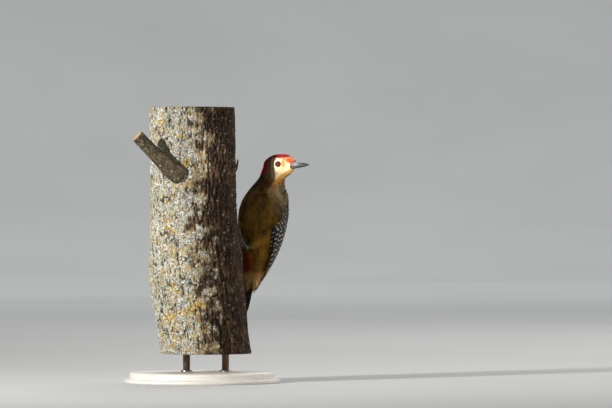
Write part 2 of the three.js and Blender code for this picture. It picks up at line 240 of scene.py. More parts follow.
def spun(profile, steps, ring=False):
    """A closed shape turned round the Z axis from (radius, height) corners, which start and end on the
    axis or, for a ring, run round its section."""
    shape = bmesh.new()
    corners = [shape.verts.new((radius, 0, height)) for radius, height in profile]
    for first, second in zip(corners, corners[1:] + corners[:ring]):
        shape.edges.new((first, second))
    edge = shape.verts[:] + shape.edges[:]
    bmesh.ops.spin(shape, geom=edge, cent=(0, 0, 0), axis=UP, angle=math.tau, steps=steps, use_merge=True)
    bmesh.ops.remove_doubles(shape, verts=shape.verts, dist=0.001 * MM)
    bmesh.ops.recalc_face_normals(shape, faces=shape.faces[:])
    return shape


def arrays_of(mesh):
    """A mesh's points and normals as arrays."""
    points = np.empty(len(mesh.vertices) * 3)
    mesh.vertices.foreach_get("co", points)
    normals = np.empty(len(mesh.vertices) * 3)
    mesh.vertices.foreach_get("normal", normals)
    return points.reshape(-1, 3), normals.reshape(-1, 3)


def mark(mesh, **values):
    """Stores arrays, one value for each vertex, as attributes that the materials read by name."""
    for name, value in values.items():
        layer = mesh.attributes.new(name, "FLOAT", "POINT")
        layer.data.foreach_set("value", np.asarray(value, np.float32))


def joined_mesh(name, points, faces, places):
    """One mesh from arrays: points, faces of one size, and each point's place on the bake map."""
    mesh = bpy.data.meshes.new(name)
    corners = faces.shape[1]
    mesh.vertices.add(len(points))
    mesh.vertices.foreach_set("co", np.asarray(points, np.float32).ravel())
    mesh.loops.add(faces.size)
    mesh.loops.foreach_set("vertex_index", faces.astype(np.int32).ravel())
    mesh.polygons.add(len(faces))
    mesh.polygons.foreach_set("loop_start", np.arange(0, faces.size, corners, dtype=np.int32))
    layer = mesh.uv_layers.new(name="OFBake")
    layer.data.foreach_set("uv", np.asarray(places[faces.ravel()], np.float32).ravel())
    mesh.update()
    mesh.shade_smooth()
    return mesh


def piece(mesh, finish, replaces=()):
    """Puts a finished mesh in the scene as one piece, of the mesh's name, that rides on the frame."""
    made = bpy.data.objects.new(mesh.name, mesh)
    bpy.context.scene.collection.objects.link(made)
    mesh.materials.clear()
    mesh.materials.append(finish)
    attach(made, "root")
    if replaces:
        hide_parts(*replaces)
    return made


def rounded(made, levels):
    """Finishes a piece with a smoothing subdivision."""
    added = made.modifiers.new("Rounded", "SUBSURF")
    added.levels = added.render_levels = levels
    return made


# ---- the body's own coordinates ----

def cut_at(shape, height):
    """The corners of a level cut through a bmesh."""
    slab = shape.copy()
    geometry = slab.verts[:] + slab.edges[:] + slab.faces[:]
    cut = bmesh.ops.bisect_plane(slab, geom=geometry, plane_co=(0, 0, height), plane_no=UP)
    corners = np.array([part.co for part in cut["geom_cut"] if isinstance(part, bmesh.types.BMVert)])
    slab.free()
    return corners.reshape(-1, 3)


def middle_line(node, below, above):
    """The line up the middle of a solid, from a little over its foot to a little under its top."""
    shape = merged_copy(node)
    low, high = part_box(node)
    heights = np.linspace(low.z + below, high.z - above, 24)
    cuts = [cut_at(shape, height) for height in heights]
    shape.free()
    return heights, np.array([(cut.min(axis=0) + cut.max(axis=0)) / 2 for cut in cuts])


def on_line(heights, line):
    """The points of a middle line, given as heights and centres, at these heights."""
    heights = np.asarray(heights, float)
    level = [np.interp(heights, line[0], line[1][:, i]) for i in (0, 1)]
    return np.stack([*level, heights], axis=-1)


def body_axis():
    """The line up the middle of the body, as heights and the centre of the cut at each."""
    torso = merged_copy(*TORSO, "tail")
    heights = np.arange(70.3, 242, 4) * MM
    centres = []
    for height in heights:
        corners = cut_at(torso, height)
        centre = Vector((0, 0, height))
        for way in (BELLY, LEFT):
            reach = corners @ np.array(way)
            centre += way * (reach.min() + reach.max()) / 2
        centres.append(centre)
    torso.free()
    return heights, np.array(centres)


AXIS = body_axis()
TAIL_LINE = middle_line("tail", 0.6 * MM, MM)
PERCH_LINE = middle_line("perch_trunk", 0.2 * MM, 0.2 * MM)
PERCH_TREE = tree_of("perch_trunk")
HEAD_TREE = tree_of("head")


def turn_of(points):
    """Each point's turn round the body, in degrees, and its distance from the body's axis."""
    away = np.asarray(points) - on_line(np.asarray(points)[..., 2], AXIS)
    left, front = away @ np.array(LEFT), away @ np.array(BELLY)
    return np.degrees(np.arctan2(left, front)), np.hypot(left, front)


def wing_edges():
    """The turns of the folded wings' front and rear edges, as heights and one pair for each."""
    wing = merged_copy(*[node for node in WINGS if "left" in node])
    low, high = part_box("wing_left_flight")[0].z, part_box("wing_left_coverts")[1].z
    heights = np.linspace(low + MM, high - MM, 30)
    turns = [turn_of(cut_at(wing, height))[0] for height in heights]
    wing.free()
    return heights, np.array([(turn.min(), turn.max()) for turn in turns])


WING_HEIGHTS, WING_TURNS = wing_edges()


# How many degrees of the wing's front edge the flank's feathers hide, by height in millimetres.
OVERLAP = (
    (100, 4), (110, 14), (120, 15), (130, 7), (139, 1), (150, -3), (166, -5), (175, -2), (184, 5),
    (197, 8), (211, 13), (217, 10),
)


def wing_turn(height, share, half=0.0):
    """The turn, from the belly's middle, of a place a share of the way across the bare part of the wing,
    front to rear, for a feather of some half width in millimetres that is to stay inside its edges."""
    front, rear = (np.interp(height, WING_HEIGHTS, WING_TURNS[:, i]) for i in (0, 1))
    front = front + np.interp(height / MM, *zip(*OVERLAP))
    inset = np.degrees(half / np.interp(height / MM, (100, 165, 217), (9.5, 26, 22)))
    inset = np.minimum(inset, (rear - front) / 2)
    return front + inset + (rear - front - 2 * inset) * share


# ---- the skin under the plumage ----

def ankle(side):
    """The joint where a thigh meets its tarsus: the thigh's lowest place on the side of the tarsus."""
    low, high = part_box("thigh_" + side)
    shin = middle("tarsus_" + side)
    level = [min(max(shin[i], low[i] + MM), high[i]) for i in (0, 1)]
    return Vector((*level, low.z + 2.5 * MM))


ANKLES = [ankle(side) for side in SIDES]


def coat_depth(points):
    """How far the skin lies under the solids: least by the eyes and ankles, and most on the body."""
    depth = COAT_ON_HEAD + (COAT_ON_BODY - COAT_ON_HEAD) * (1 - soft(points[..., 2], 0.222, 0.238))
    for spots, least, near, far in ((ANKLES, 0.12, 3, 15), (EYE.values(), 0.05, 3.8, 7.5)):
        for spot in spots:
            away = np.linalg.norm(points - np.array(spot), axis=-1) / MM
            depth = depth * (least + (1 - least) * soft(away, near, far))
    return depth


def skin_shape():
    """One skin over head, neck, body, thighs and folded wings, inside their solids by the coat's depth."""
    skin = remeshed(merged_copy(*TORSO, *THIGHS, *WINGS, swell=SEAM), SKIN_VOXEL)
    smoothed(skin, 4)
    depths = coat_depth(np.array([vert.co for vert in skin.verts])) + SEAM
    at_vent = Vector(on_line(VENT_END, AXIS))
    for vert, depth in zip(skin.verts, depths):
        vert.co -= vert.normal * depth
        end = VENT_END + VENT_SLANT * (vert.co - at_vent).dot(BELLY)
        vert.co.z += max(end - vert.co.z, 0) * 0.8
    smoothed(skin, 3)
    return skin


def skin_and_tail():
    """A tree for finding places on the skin, and on the tail below it."""
    both = SKIN.copy()
    mesh_into(both, merged_copy("tail"))
    tree = BVHTree.FromBMesh(both)
    both.free()
    return tree


SKIN = skin_shape()
SKIN_TREE = skin_and_tail()
GRID_UP, GRID_ROUND = 1.5 * MM, 3.0    # the steps of the grid over the skin, in height and in degrees
GRID_HEIGHTS = np.arange(64, 250, 1.5) * MM
GRID_TURNS = np.arange(-180, 181, GRID_ROUND)


def skin_radii():
    """How far the skin lies from the body's axis, over a grid of heights and turns."""
    radii = np.empty((len(GRID_HEIGHTS), len(GRID_TURNS)))
    for row, height in enumerate(GRID_HEIGHTS):
        centre = Vector(on_line(height, AXIS))
        for column, turn in enumerate(GRID_TURNS):
            way = BELLY * math.cos(math.radians(turn)) + LEFT * math.sin(math.radians(turn))
            place, _, _, _ = SKIN_TREE.ray_cast(centre + way * 0.08, -way)
            radii[row, column] = (place - centre).length if place else MM
    return radii


SKIN_RADII = skin_radii()


def held_within(swing, first, last):
    """The skin's radii, those beyond two turns, given as functions of height, carried on from the edges."""
    held = np.empty_like(SKIN_RADII)
    for row, height in enumerate(GRID_HEIGHTS):
        edges = sorted((swing * first(height), swing * last(height)))
        held[row] = np.interp(np.clip(GRID_TURNS, *edges), GRID_TURNS, SKIN_RADII[row])
    return held


def evened(radii, passes):
    """Radii smoothed over their neighbours round and along the body."""
    for _ in range(passes):
        own = radii[:, :-1]
        own = (np.roll(own, 1, axis=1) + np.roll(own, -1, axis=1)) / 4 + own / 2
        radii = np.concatenate([own, own[:, :1]], axis=1)
        radii[1:-1] = radii[1:-1] / 2 + (radii[2:] + radii[:-2]) / 4
    return radii


def surface(radii):
    """A function from heights and turns to points and normals on the surface with these radii."""

    def places(heights, turns):
        row = np.clip((heights - GRID_HEIGHTS[0]) / GRID_UP, 0, len(GRID_HEIGHTS) - 1.001)
        column = np.clip(((turns + 180) % 360) / GRID_ROUND, 0, len(GRID_TURNS) - 1.001)
        i, j = row.astype(int), column.astype(int)
        u, v = row - i, column - j
        upper = radii[i + 1, j] * (1 - v) + radii[i + 1, j + 1] * v
        reach = (radii[i, j] * (1 - v) + radii[i, j + 1] * v) * (1 - u) + upper * u
        angles = np.radians(turns)[..., None]
        ways = np.cos(angles) * np.array(BELLY) + np.sin(angles) * np.array(LEFT)
        return on_line(heights, AXIS) + ways * reach[..., None]

    def on_surface(heights, turns):
        heights, turns = np.broadcast_arrays(heights, turns)
        upward = places(heights + MM, turns) - places(heights - MM, turns)
        round_it = places(heights, turns + 4) - places(heights, turns - 4)
        normals = np.cross(round_it, upward)
        return places(heights, turns), normals / np.linalg.norm(normals, axis=-1, keepdims=True)

    return on_surface


def wing_edge(share, inset):
    """The turn of a wing's edge as a function of height, inset by some degrees."""
    return lambda height: float(wing_turn(height, share)) + inset


ON_WING = {
    side: surface(evened(held_within(swing, wing_edge(0.0, 6), wing_edge(1.0, -5)), 1))
    for side, swing in SIDES.items()
}
ON_BACK = surface(evened(SKIN_RADII, 4))
FRONT_RADII = held_within(1, lambda height: -wing_turn(height, 0.0) + 6, wing_edge(0.0, -6))
ON_FRONT = surface(evened(FRONT_RADII, 2))


# ---- markings and painted shade, the same on skin and plumage ----

def patch(place, centre, radii):
    """1 in the middle of an oval patch of the head, either side alike, and 0 outside it."""
    behind, aside, up = place
    parts = zip((behind, np.abs(aside), up), centre, radii)
    away = [(part - at) / radius for part, at, radius in parts]
    return 1 - soft(np.sqrt(sum(part * part for part in away)), 0.62, 1.1)


def markings(points):
    """How far each point lies in each of the bird's markings, and in the painted shade on lower body, flanks,
    chin and hindneck, from 0 to 1, by its place on head and body.
    """
    behind, aside, up = place = head_place(points)
    turn, _ = turn_of(points)
    height = points[..., 2] / MM
    off_belly = np.abs(turn)
    wide = 8.6 + 5.6 * soft(behind, 18, 32)
    crown = 1 - soft(np.abs(aside), wide, wide + 1.5)
    crown = crown * np.maximum(soft(up, 7.4, 8.6), soft(behind, 26, 33)) * soft(behind, 4.0, 7.0)
    crown = crown * soft(up, -24, -19)
    on_head = soft(height, 226, 236)
    front, rear = (off_belly - wing_turn(points[..., 2], share) for share in (0.0, 1.0))
    under_wing = soft(front, 2, 6) * (1 - soft(rear, -6, 0))
    under_wing = under_wing * soft(height, 100, 112) * (1 - soft(height, 212, 219))
    on_mantle = soft(off_belly, 118, 138) * soft(height, 150, 168) * (1 - soft(height, 219, 230))
    # The line along the jaw below which the chin's painted shade lies.
    below_bill = 1 - soft(up + 0.35 * behind + 0.8 * (np.abs(aside) - 3), -4.4, -1.6)
    return {
        "crown": crown,
        "nostril_tuft": patch(place, (3.4, 3.8, 4.8), (4.2, 3.6, 3.8)),
        "forehead": patch(place, (6.5, 3.5, 7.2), (6.0, 6.5, 3.6)),
        "lore": patch(place, (10.0, 8.2, 1.4), (4.2, 3.5, 3.6)),
        "brow": patch(place, (17.0, 10.5, 6.0), (7.0, 6.0, 4.6)),
        "face": on_head * (1 - soft(behind, 22, 26)),
        # Partly the throat's own buff and partly painted shade: below the jaw line the chin and throat are
        # ochre.
        "chin_shade": (1 - soft(behind, 16, 26)) * soft(height, 222, 228) * below_bill,
        # Partly painted shade: below the breast the buff ground turns a warm olive-brown, and the lower
        # flanks golden, for the warm light in the body's shade.
        "warm_shade": 1 - soft(height, 186, 224),
        "chest": soft(off_belly, 54, 104) * soft(height, 182, 200) * (1 - soft(height, 222, 236)),
        "flank": soft(off_belly, 34, 88) * (1 - soft(height, 156, 206)),
        "wash": (1 - soft(off_belly, 8, 84)) * soft(height, 112, 134) * (1 - soft(height, 134, 168)),
        "vent": 1 - soft(height, 118, 144),
        "rump": soft(off_belly, 124, 146) * (1 - soft(height, 140, 160)),
        "mantle": np.maximum(on_mantle, under_wing),
        # Painted shade: the grey-buff of the hindneck made dark grey, as it lies in the trunk's shadow.
        "nape_shade": soft(behind, 26, 36) * soft(height, 214, 226),
    }


# ---- small feathers ----

def tuft_pattern(barbs, reach):
    """One tuft of thin barbs that fan out from its root: points (across, along, above) and triangles."""
    joined = bmesh.new()
    for barb in range(barbs):
        sideways = 2 * barb / (barbs - 1) - 1 if barbs > 1 else 0.0
        length = 1.0 - 0.13 * abs(sideways)
        stations = ((0.0, 0.8, 0.6), (0.6, 1.3, 1.0), (1.0, 0.06, 0.1))
        rings = []
        for share, wide, deep in stations:
            place = (sideways * reach * (0.42 + 0.58 * share), share * length, 0)
            rings.append(across(place, (0, 1, 0), wide / barbs * 1.25, deep))
        lock = lofted(rings, 3)
        bmesh.ops.triangulate(lock, faces=lock.faces[:])
        mesh_into(joined, lock)
    joined.verts.ensure_lookup_table()
    points = np.array([vert.co for vert in joined.verts])
    triangles = np.array([[vert.index for vert in face.verts] for face in joined.faces])
    joined.free()
    return points, triangles


def tufts(name, roots, tips, normals, widths, pattern, thickness, places):
    """One mesh with a copy of the tuft pattern from each root to its tip, flat side along the normal."""
    points, triangles = pattern
    along = tips - roots
    lengths = np.linalg.norm(along, axis=1, keepdims=True)
    along = along / lengths
    aside = np.cross(along, normals)
    aside /= np.linalg.norm(aside, axis=1, keepdims=True)
    above = np.cross(aside, along)
    count = len(roots)
    arch = 0.07 * np.sin(np.pi * points[:, 1])
    made = roots[:, None] + aside[:, None] * points[:, 0][None, :, None] * widths[:, None, None]
    made = made + along[:, None] * points[:, 1][None, :, None] * lengths[:, None]
    rise = points[:, 2][None, :] * thickness + arch[None, :] * lengths
    made = made + above[:, None] * rise[..., None]
    faces = (triangles[None] + (np.arange(count) * len(points))[:, None, None]).reshape(-1, 3)
    spread = np.stack([np.clip(points[:, 0], -1, 1) / 2, points[:, 1] - 0.5], axis=1) * BAKE_PATCH
    on_map = (places[:, None] + spread[None]).reshape(-1, 2)
    mesh = joined_mesh(name, made.reshape(-1, 3), faces, on_map)
    chance = np.random.default_rng(len(roots)).random(count)
    each = {key: np.repeat(value, len(points)) for key, value in markings(roots).items()}
    mark(mesh, along=np.tile(points[:, 1], count), across=np.tile(points[:, 0], count),
         tone=np.repeat(chance, len(points)), **each)
    return mesh


def nearest_solid(points, nodes):
    """The index in nodes of the solid that each point lies nearest to."""
    trees = [tree_of(node) for node in nodes]
    distances = [[tree.find_nearest(Vector(point))[3] for tree in trees] for point in points]
    return np.argmin(distances, axis=1)


def within(corner, shares):
    """Places inside faces of four corners, at their shares along two sides."""
    u, v = shares[:, :1], shares[:, 1:]
    near, far = (corner[:, i] * (1 - u) + corner[:, j] * u for i, j in ((0, 1), (3, 2)))
    return near * (1 - v) + far * v


def scattered(points, quads, spacing, chance):
    """Places over faces of four, none closer than the spacing: their faces, and shares along two sides."""
    corner = points[quads]
    areas = np.linalg.norm(np.cross(corner[:, 2] - corner[:, 0], corner[:, 3] - corner[:, 1]), axis=1) / 2
    tries = int(areas.sum() / spacing ** 2 * 3.2)
    faces = chance.choice(len(quads), tries, p=areas / areas.sum())
    shares = chance.random((tries, 2))
    places = within(corner[faces], shares)
    cells = np.floor(places / spacing).astype(int)
    taken = {}
    kept = []
    near = [(i, j, k) for i in (-1, 0, 1) for j in (-1, 0, 1) for k in (-1, 0, 1)]
    closest = spacing * 0.82
    for i, ((x, y, z), place) in enumerate(zip(cells.tolist(), places.tolist())):
        around = (other for a, b, c in near for other in taken.get((x + a, y + b, z + c), ()))
        if all(math.dist(place, other) >= closest for other in around):
            taken.setdefault((x, y, z), []).append(place)
            kept.append(i)
    return faces[kept], shares[kept]


def laid_flat(way, normals):
    """Ways turned flat to the surface that has these normals."""
    way = way - normals * (way * normals).sum(axis=1, keepdims=True)
    return way / np.maximum(np.linalg.norm(way, axis=1, keepdims=True), 1e-6)


def lie_of_coat(points, normals):
    """The way that feathers lie: back from the bill over the head, then down the neck and body."""
    behind, _, up = head_place(points)
    towards_back = 1 - soft(behind + 0.9 * np.maximum(0, -up - 2), 20, 40)
    towards_back = (towards_back * soft(points[:, 2], 0.218, 0.232))[:, None]
    turn, _ = turn_of(points)
    outward = (np.sin(np.radians(turn)) * 0.22 * (1 - soft(points[:, 2], 0.21, 0.23)))[:, None]
    way = towards_back * -np.array(FACE) - (1 - towards_back) * np.array(UP) + outward * np.array(LEFT)
    return laid_flat(way, normals)


def lie_of_leg(node, points, normals):
    """The way that the feathers of a thigh lie: down it towards the ankle."""
    return laid_flat(np.array(ankle(node.removeprefix("thigh_")) - UP * 3 * MM) - points, normals)


# ---- the coat of small feathers ----

# Spacing, length, half width and thickness of a tuft in millimetres, and its number of barbs.
COATS = {
    "head": (0.48, 2.5, 0.32, 0.07, 2),
    "neck": (0.68, 3.8, 0.66, 0.08, 4),
    "breast": (0.80, 5.2, 0.90, 0.09, 5),
    "belly": (0.86, 6.0, 0.98, 0.09, 5),
    "vent": (0.90, 5.4, 0.95, 0.09, 5),
    "thigh_left": (0.70, 3.4, 0.70, 0.08, 4),
    "thigh_right": (0.70, 3.4, 0.70, 0.08, 4),
}


def skin_mesh():
    mesh = bpy.data.meshes.new("skin")
    SKIN.to_mesh(mesh)
    mesh.shade_smooth()
    points, _ = arrays_of(mesh)
    count = len(points)
    # The skin's along of 0.2 darkens it a little under the plumage's painted shade at the roots.
    mark(
        mesh, along=np.full(count, 0.2), across=np.zeros(count), tone=np.full(count, 0.5), **markings(points)
    )
    return mesh


def unwrapped(node, points):
    """Each place's spot on the bake map: round and along the head, or round and up the body or thigh."""
    if node == "head":
        behind, aside, up = head_place(points)
        turn = np.arctan2(aside, up + 1) / math.tau + 0.5
        return np.stack([turn, np.clip(behind / 52 + 0.06, 0.01, 0.99)], axis=1)
    if node in THIGHS:
        away = points - np.array(middle(node))
        turn = np.degrees(np.arctan2(away @ np.array(LEFT), away @ np.array(BELLY)))
    else:
        turn, _ = turn_of(points)
    low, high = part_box(node)
    up = (points[:, 2] - low.z + 4 * MM) / (high.z - low.z + 8 * MM)
    return np.stack([turn / 360 * 0.98 + 0.5, np.clip(up, 0.01, 0.99)], axis=1)


def from_eye(points):
    """How far points lie from the line through the two eyes' middles, near the eyes, in millimetres."""
    away = np.asarray(points) - np.array(EYE["left"] + EYE["right"]) / 2
    level = away - (away @ np.array(FACE_LEFT))[:, None] * np.array(FACE_LEFT)
    return np.linalg.norm(level, axis=1) / MM


def uncovered(node, points):
    """Where a coat's tufts are left out: round the eyes, in the bill's root, and under the barred vanes."""
    behind, aside, up = head_place(points)
    at_eye = (from_eye(points) < EYE_CLEAR) & (np.abs(aside) > 6)
    at_bill = (behind < 1.6) & (np.abs(up) < 4.4) & (np.abs(aside) < 4.2)
    turn, _ = turn_of(points)
    on_back = (np.abs(turn) > 132) & (points[:, 2] < 0.217) & (points[:, 2] > 0.132)
    return at_eye | at_bill | (on_back & (node != "head"))


def coat(finish):
    """Covers the skin with small feathers, in one piece for each side of each part of the body."""
    mesh = skin_mesh()
    points, normals = arrays_of(mesh)
    quads = np.empty(len(mesh.polygons) * 4, np.int32)
    mesh.polygons.foreach_get("vertices", quads)
    quads = quads.reshape(-1, 4)
    solids = (*COATS, *WINGS)
    centres = points[quads].mean(axis=1)
    nearest = nearest_solid(centres, solids)
    turns, heights = np.abs(turn_of(centres)[0]), centres[:, 2]
    at_edge = (nearest >= len(COATS)) & (turns < wing_turn(heights, 0.0) + 1)
    flank = np.where(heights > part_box("breast")[0].z, solids.index("breast"), solids.index("belly"))
    flank = np.where(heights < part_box("belly")[0].z, solids.index("vent"), flank)
    nearest = np.where(at_edge, flank, nearest)
    patterns = {barbs: tuft_pattern(barbs, 0.8) for barbs in (2, 4, 5)}
    for index, (node, (spacing, length, wide, thick, barbs)) in enumerate(COATS.items()):
        chance = np.random.default_rng(40 + index)
        own = quads[nearest == index]
        faces, shares = scattered(points, own, spacing * MM, chance)
        roots, out = (within(field[own[faces]], shares) for field in (points, normals))
        kept = ~uncovered(node, roots)
        roots, out = roots[kept], out[kept]
        out /= np.linalg.norm(out, axis=1, keepdims=True)
        size = 0.8 + 0.4 * chance.random(len(roots))
        if node == "head":
            by_bill = np.linalg.norm(roots - np.array(BILL_ROOT), axis=1) / MM
            size *= (0.5 + 0.5 * soft(from_eye(roots), 4, 9)) * (0.6 + 0.4 * soft(by_bill, 4, 12))
        lie = lie_of_leg(node, roots, out) if node in THIGHS else lie_of_coat(roots, out)
        lie = lie + np.cross(lie, out) * (chance.random((len(roots), 1)) - 0.5) * 0.24
        lengths = length * size * MM
        if node == "head":
            room = np.maximum((from_eye(roots) - EYE_ROOM) * MM, 0.7 * MM)
            lengths = np.where(np.abs(head_place(roots)[1]) > 6, np.minimum(lengths, room), lengths)
        lift = np.maximum(coat_depth(roots), 0.6 * MM) * (0.35 + 0.5 * chance.random(len(roots)))
        tips = np.empty_like(roots)
        for i, (root, way, reach, raised) in enumerate(zip(roots, lie, lengths, lift)):
            place, normal, _, _ = SKIN_TREE.find_nearest(Vector(root + way * reach))
            tips[i] = place + normal * raised
        aside = head_place(roots)[1] if node == "head" else turn_of(roots)[0]
        for side, swing in SIDES.items():
            own_side = aside * swing >= 0 if node not in THIGHS else np.full(len(roots), node.endswith(side))
            if not own_side.any():
                continue
            name = "coat_" + (node if node in THIGHS else f"{node}_{side}")
            fields = (roots - out * 0.15 * MM, tips, out, wide * size * MM)
            chosen = [field[own_side] for field in fields]
            places = unwrapped(node, roots[own_side])
            made = tufts(name, *chosen, patterns[barbs], thick * MM, places)
            piece(made, finish)
    return piece(mesh, finish, replaces=(*TORSO, *THIGHS))


# ---- vanes: the larger barred feathers of mantle, wings and tail coverts ----

def vane_pattern(columns, rows):
    """A flat vane with a thickness: points (across -1 to 1, along 0 to 1, layer 0 or -1) and quads."""
    shape = bmesh.new()
    bmesh.ops.create_grid(shape, x_segments=columns, y_segments=rows, size=1.0)
    stretched = Matrix.Translation((0, 0.5, 0)) @ Matrix.Diagonal((1, 0.5, 1, 1))
    bmesh.ops.transform(shape, matrix=stretched, verts=shape.verts[:])
    shape.normal_update()
    bmesh.ops.solidify(shape, geom=shape.faces[:], thickness=1.0)
    bmesh.ops.recalc_face_normals(shape, faces=shape.faces[:])
    shape.verts.ensure_lookup_table()
    points = np.array([vert.co for vert in shape.verts])
    quads = np.array([[vert.index for vert in face.verts] for face in shape.faces])
    shape.free()
    return points, quads


def vane_outline(along, sharpness):
    """A vane's half width along its length, as a share of the widest: narrow at the root and at the tip."""
    root = 0.3 + 0.7 * soft(along, -0.05, 0.3)
    return root * np.maximum(1 - along ** sharpness, 0.0) ** 0.5 * 0.97 + 0.03


def laid_vanes(name, feathers, pattern, on_surface, radius=None):
    """One mesh of vanes laid over a surface. Each feather is (root height, root turn, tip height, tip turn,
    half width, lift at root, lift at tip, tilt, sharpness, white share), lengths in millimetres."""
    feathers = np.array(feathers, float)
    points, quads = pattern
    share, along, layer = points[:, 0], points[:, 1], points[:, 2]
    columns = (column[:, None] for column in feathers.T)
    root_h, root_t, tip_h, tip_t, half, lift_0, lift_1, tilt, sharp, white = columns
    heights = (root_h + (tip_h - root_h) * along) * MM
    turns = root_t + (tip_t - root_t) * along
    if radius is None:
        _, out = turn_of(on_surface(heights, turns)[0])
        radius = np.median(out, axis=1, keepdims=True)
    run = np.radians(tip_t - root_t) * radius
    drop = (tip_h - root_h) * MM
    length = np.hypot(run, drop)
    width = half * MM * vane_outline(along[None], sharp)
    heights = heights + share * width * run / length
    turns = turns - np.degrees(share * width * drop / length / radius)
    places, normals = on_surface(heights, turns)
    camber = 0.16 * width * (1 - share * share)
    shaft = 0.1 * MM * (np.abs(share) < 0.01)
    sloped = tilt * share + np.abs(tilt)
    lift = (lift_0 + (lift_1 - lift_0) * along + sloped) * MM + camber + shaft
    lift = lift + (layer + 0.6) * VANE_THICKNESS
    made = places + normals * lift[..., None]
    count = len(feathers)
    faces = (quads[None] + (np.arange(count) * len(points))[:, None, None]).reshape(-1, 4)
    cell_columns = math.ceil(math.sqrt(count * 2.2))
    cell_rows = math.ceil(count / cell_columns)
    index = np.arange(count)[:, None]
    u = (index % cell_columns + 0.5 + 0.45 * share * (1 + 0.06 * layer)) / cell_columns
    v = (index // cell_columns + 0.04 + 0.92 * (along * (1 + 0.03 * layer) - 0.01 * layer)) / cell_rows
    on_map = np.stack([u, v], axis=-1).reshape(-1, 2)
    mesh = joined_mesh(name, made.reshape(-1, 3), faces, on_map)
    chance = np.random.default_rng(count + 7).random(count)
    distance = length / MM * along
    mark(
        mesh, along=np.tile(along, count), across=np.tile(share, count), distance=distance.ravel(),
        tone=np.repeat(chance, len(points)), white=np.repeat(white, len(points)),
    )
    return mesh


def row_of(height, drop, turns, half, lift, white, sharp=6.0):
    """A row of like feathers whose roots share one height."""
    return [(height, turn, height - drop, turn, half, *lift, 0.0, sharp, white) for turn in turns]


def even(first, last, gap, radius, row):
    """Turns from first to last, about gap millimetres apart at this radius, each row out of step."""
    count = max(1, round(abs(math.radians(last - first)) * radius / gap))
    step = (last - first) / count
    return [first + step * (i + 0.5 + out_of_step(row)) for i in range(count)]


def out_of_step(row):
    """How far, in feathers, a row is set off from the rows next to it."""
    return 0.25 - 0.5 * (row % 2)


def wing_row(swing, height, drop, gap, half, lift, white, offset=0.0):
    """A row of wing feathers over the folded wing, each lying over the one behind its front edge."""
    front, rear = (wing_turn(height * MM, share, half) for share in (0, 1))
    count = max(2, round(math.radians(rear - front) * WING_RADIUS / gap) + 1)
    feathers = []
    for i in range(count):
        share = (i + offset) / (count - 1)
        feathers.append((
            height, swing * wing_turn(height * MM, share, half), height - drop,
            swing * wing_turn((height - drop) * MM, share, half), half, *lift, -0.26 * swing, 5.0, white,
        ))
    return feathers


LESSER_COVERTS = (217.5, 213, 208.5, 204, 199.5, 195, 190.5)

# The stacks of flight feathers, undermost first: how many, height of the roots, share across the wing of
# the first root and of the step to the next, height of the first tip, its step and its curve, share across
# of the tips beyond the roots, half width, share of it that the tips are held in by, lifts of root and tip
# with the tip's step, tilt, sharpness and white share.
FLIGHT = (
    (10, 161, 0.0, 0.111, 99.6, 0.0, 0.34, 0.0, 4.2, 0.3, 0.0, 0.2, 0.05, -0.20, 2.6, 0.20),
    (8, 172, 0.1, 0.128, 114, 2.6, 0.0, 0.03, 5.0, 0.7, 0.1, 0.85, 0.03, -0.30, 4.0, 0.28),
    (4, 176, 0.62, 0.126, 130, 6.0, 0.0, 0.0, 5.6, 0.7, 0.3, 1.25, 0.10, -0.30, 5.0, 0.28),
    (5, 174, 0.0, 0.05, 149, -1.0, 0.0, 0.01, 3.0, 0.7, 0.3, 0.95, 0.0, -0.20, 3.0, 0.17),
)


def wing(side, finish):
    """One folded wing: rows of small coverts, the greater coverts, and the flight feathers below them."""
    swing = SIDES[side]
    coverts = []
    for row, height in enumerate(LESSER_COVERTS):
        white = 0.10 if height > 200 else 0.15
        coverts += wing_row(swing, height, 10, 3.9, 2.9, (0.15, 1.15), white, out_of_step(row))
    coverts += wing_row(swing, 186.5, 15, 4.4, 3.4, (0.25, 1.3), 0.18)
    coverts += wing_row(swing, 181, 27, 5.0, 4.0, (0.3, 1.4), 0.22, 0.2)
    made = laid_vanes(f"vanes_wing_{side}_coverts", coverts, vane_pattern(6, 8), ON_WING[side])
    piece(made, finish, replaces=(f"wing_{side}_coverts",))

    flight = []
    for stack in FLIGHT:
        count, root, first, step, tip, lower, curve, past, half, held, *lift, rise, tilt, sharp, white = stack
        for i in range(count):
            share = first + step * i
            end = tip + lower * i + curve * (i - 3) ** 2
            flight.append((
                root, swing * wing_turn(root * MM, share, half), end,
                swing * wing_turn(end * MM, min(share + past, 1), half * held), half,
                lift[0], lift[1] + rise * i, tilt * swing, sharp, white,
            ))
    made = laid_vanes(f"vanes_wing_{side}_flight", flight, vane_pattern(6, 20), ON_WING[side])
    piece(made, finish, replaces=(f"wing_{side}_flight",))


def mantle(finish):
    """The barred feathers between the wings, from hindneck to rump, which lie over the wings' rear edges."""
    feathers = []
    for row, height in enumerate(np.arange(228, 148, -4.2)):
        edge = min(wing_turn(height * MM, 1.0) - 7, 150) if height < 217 else 128
        turns = even(edge, 360 - edge, 4.0, 23, row)
        feathers += row_of(height, 10, turns, 2.9, (0.2, 1.25), white=0.4)
    made = laid_vanes("vanes_mantle", feathers, vane_pattern(6, 8), ON_BACK)
    piece(made, finish)


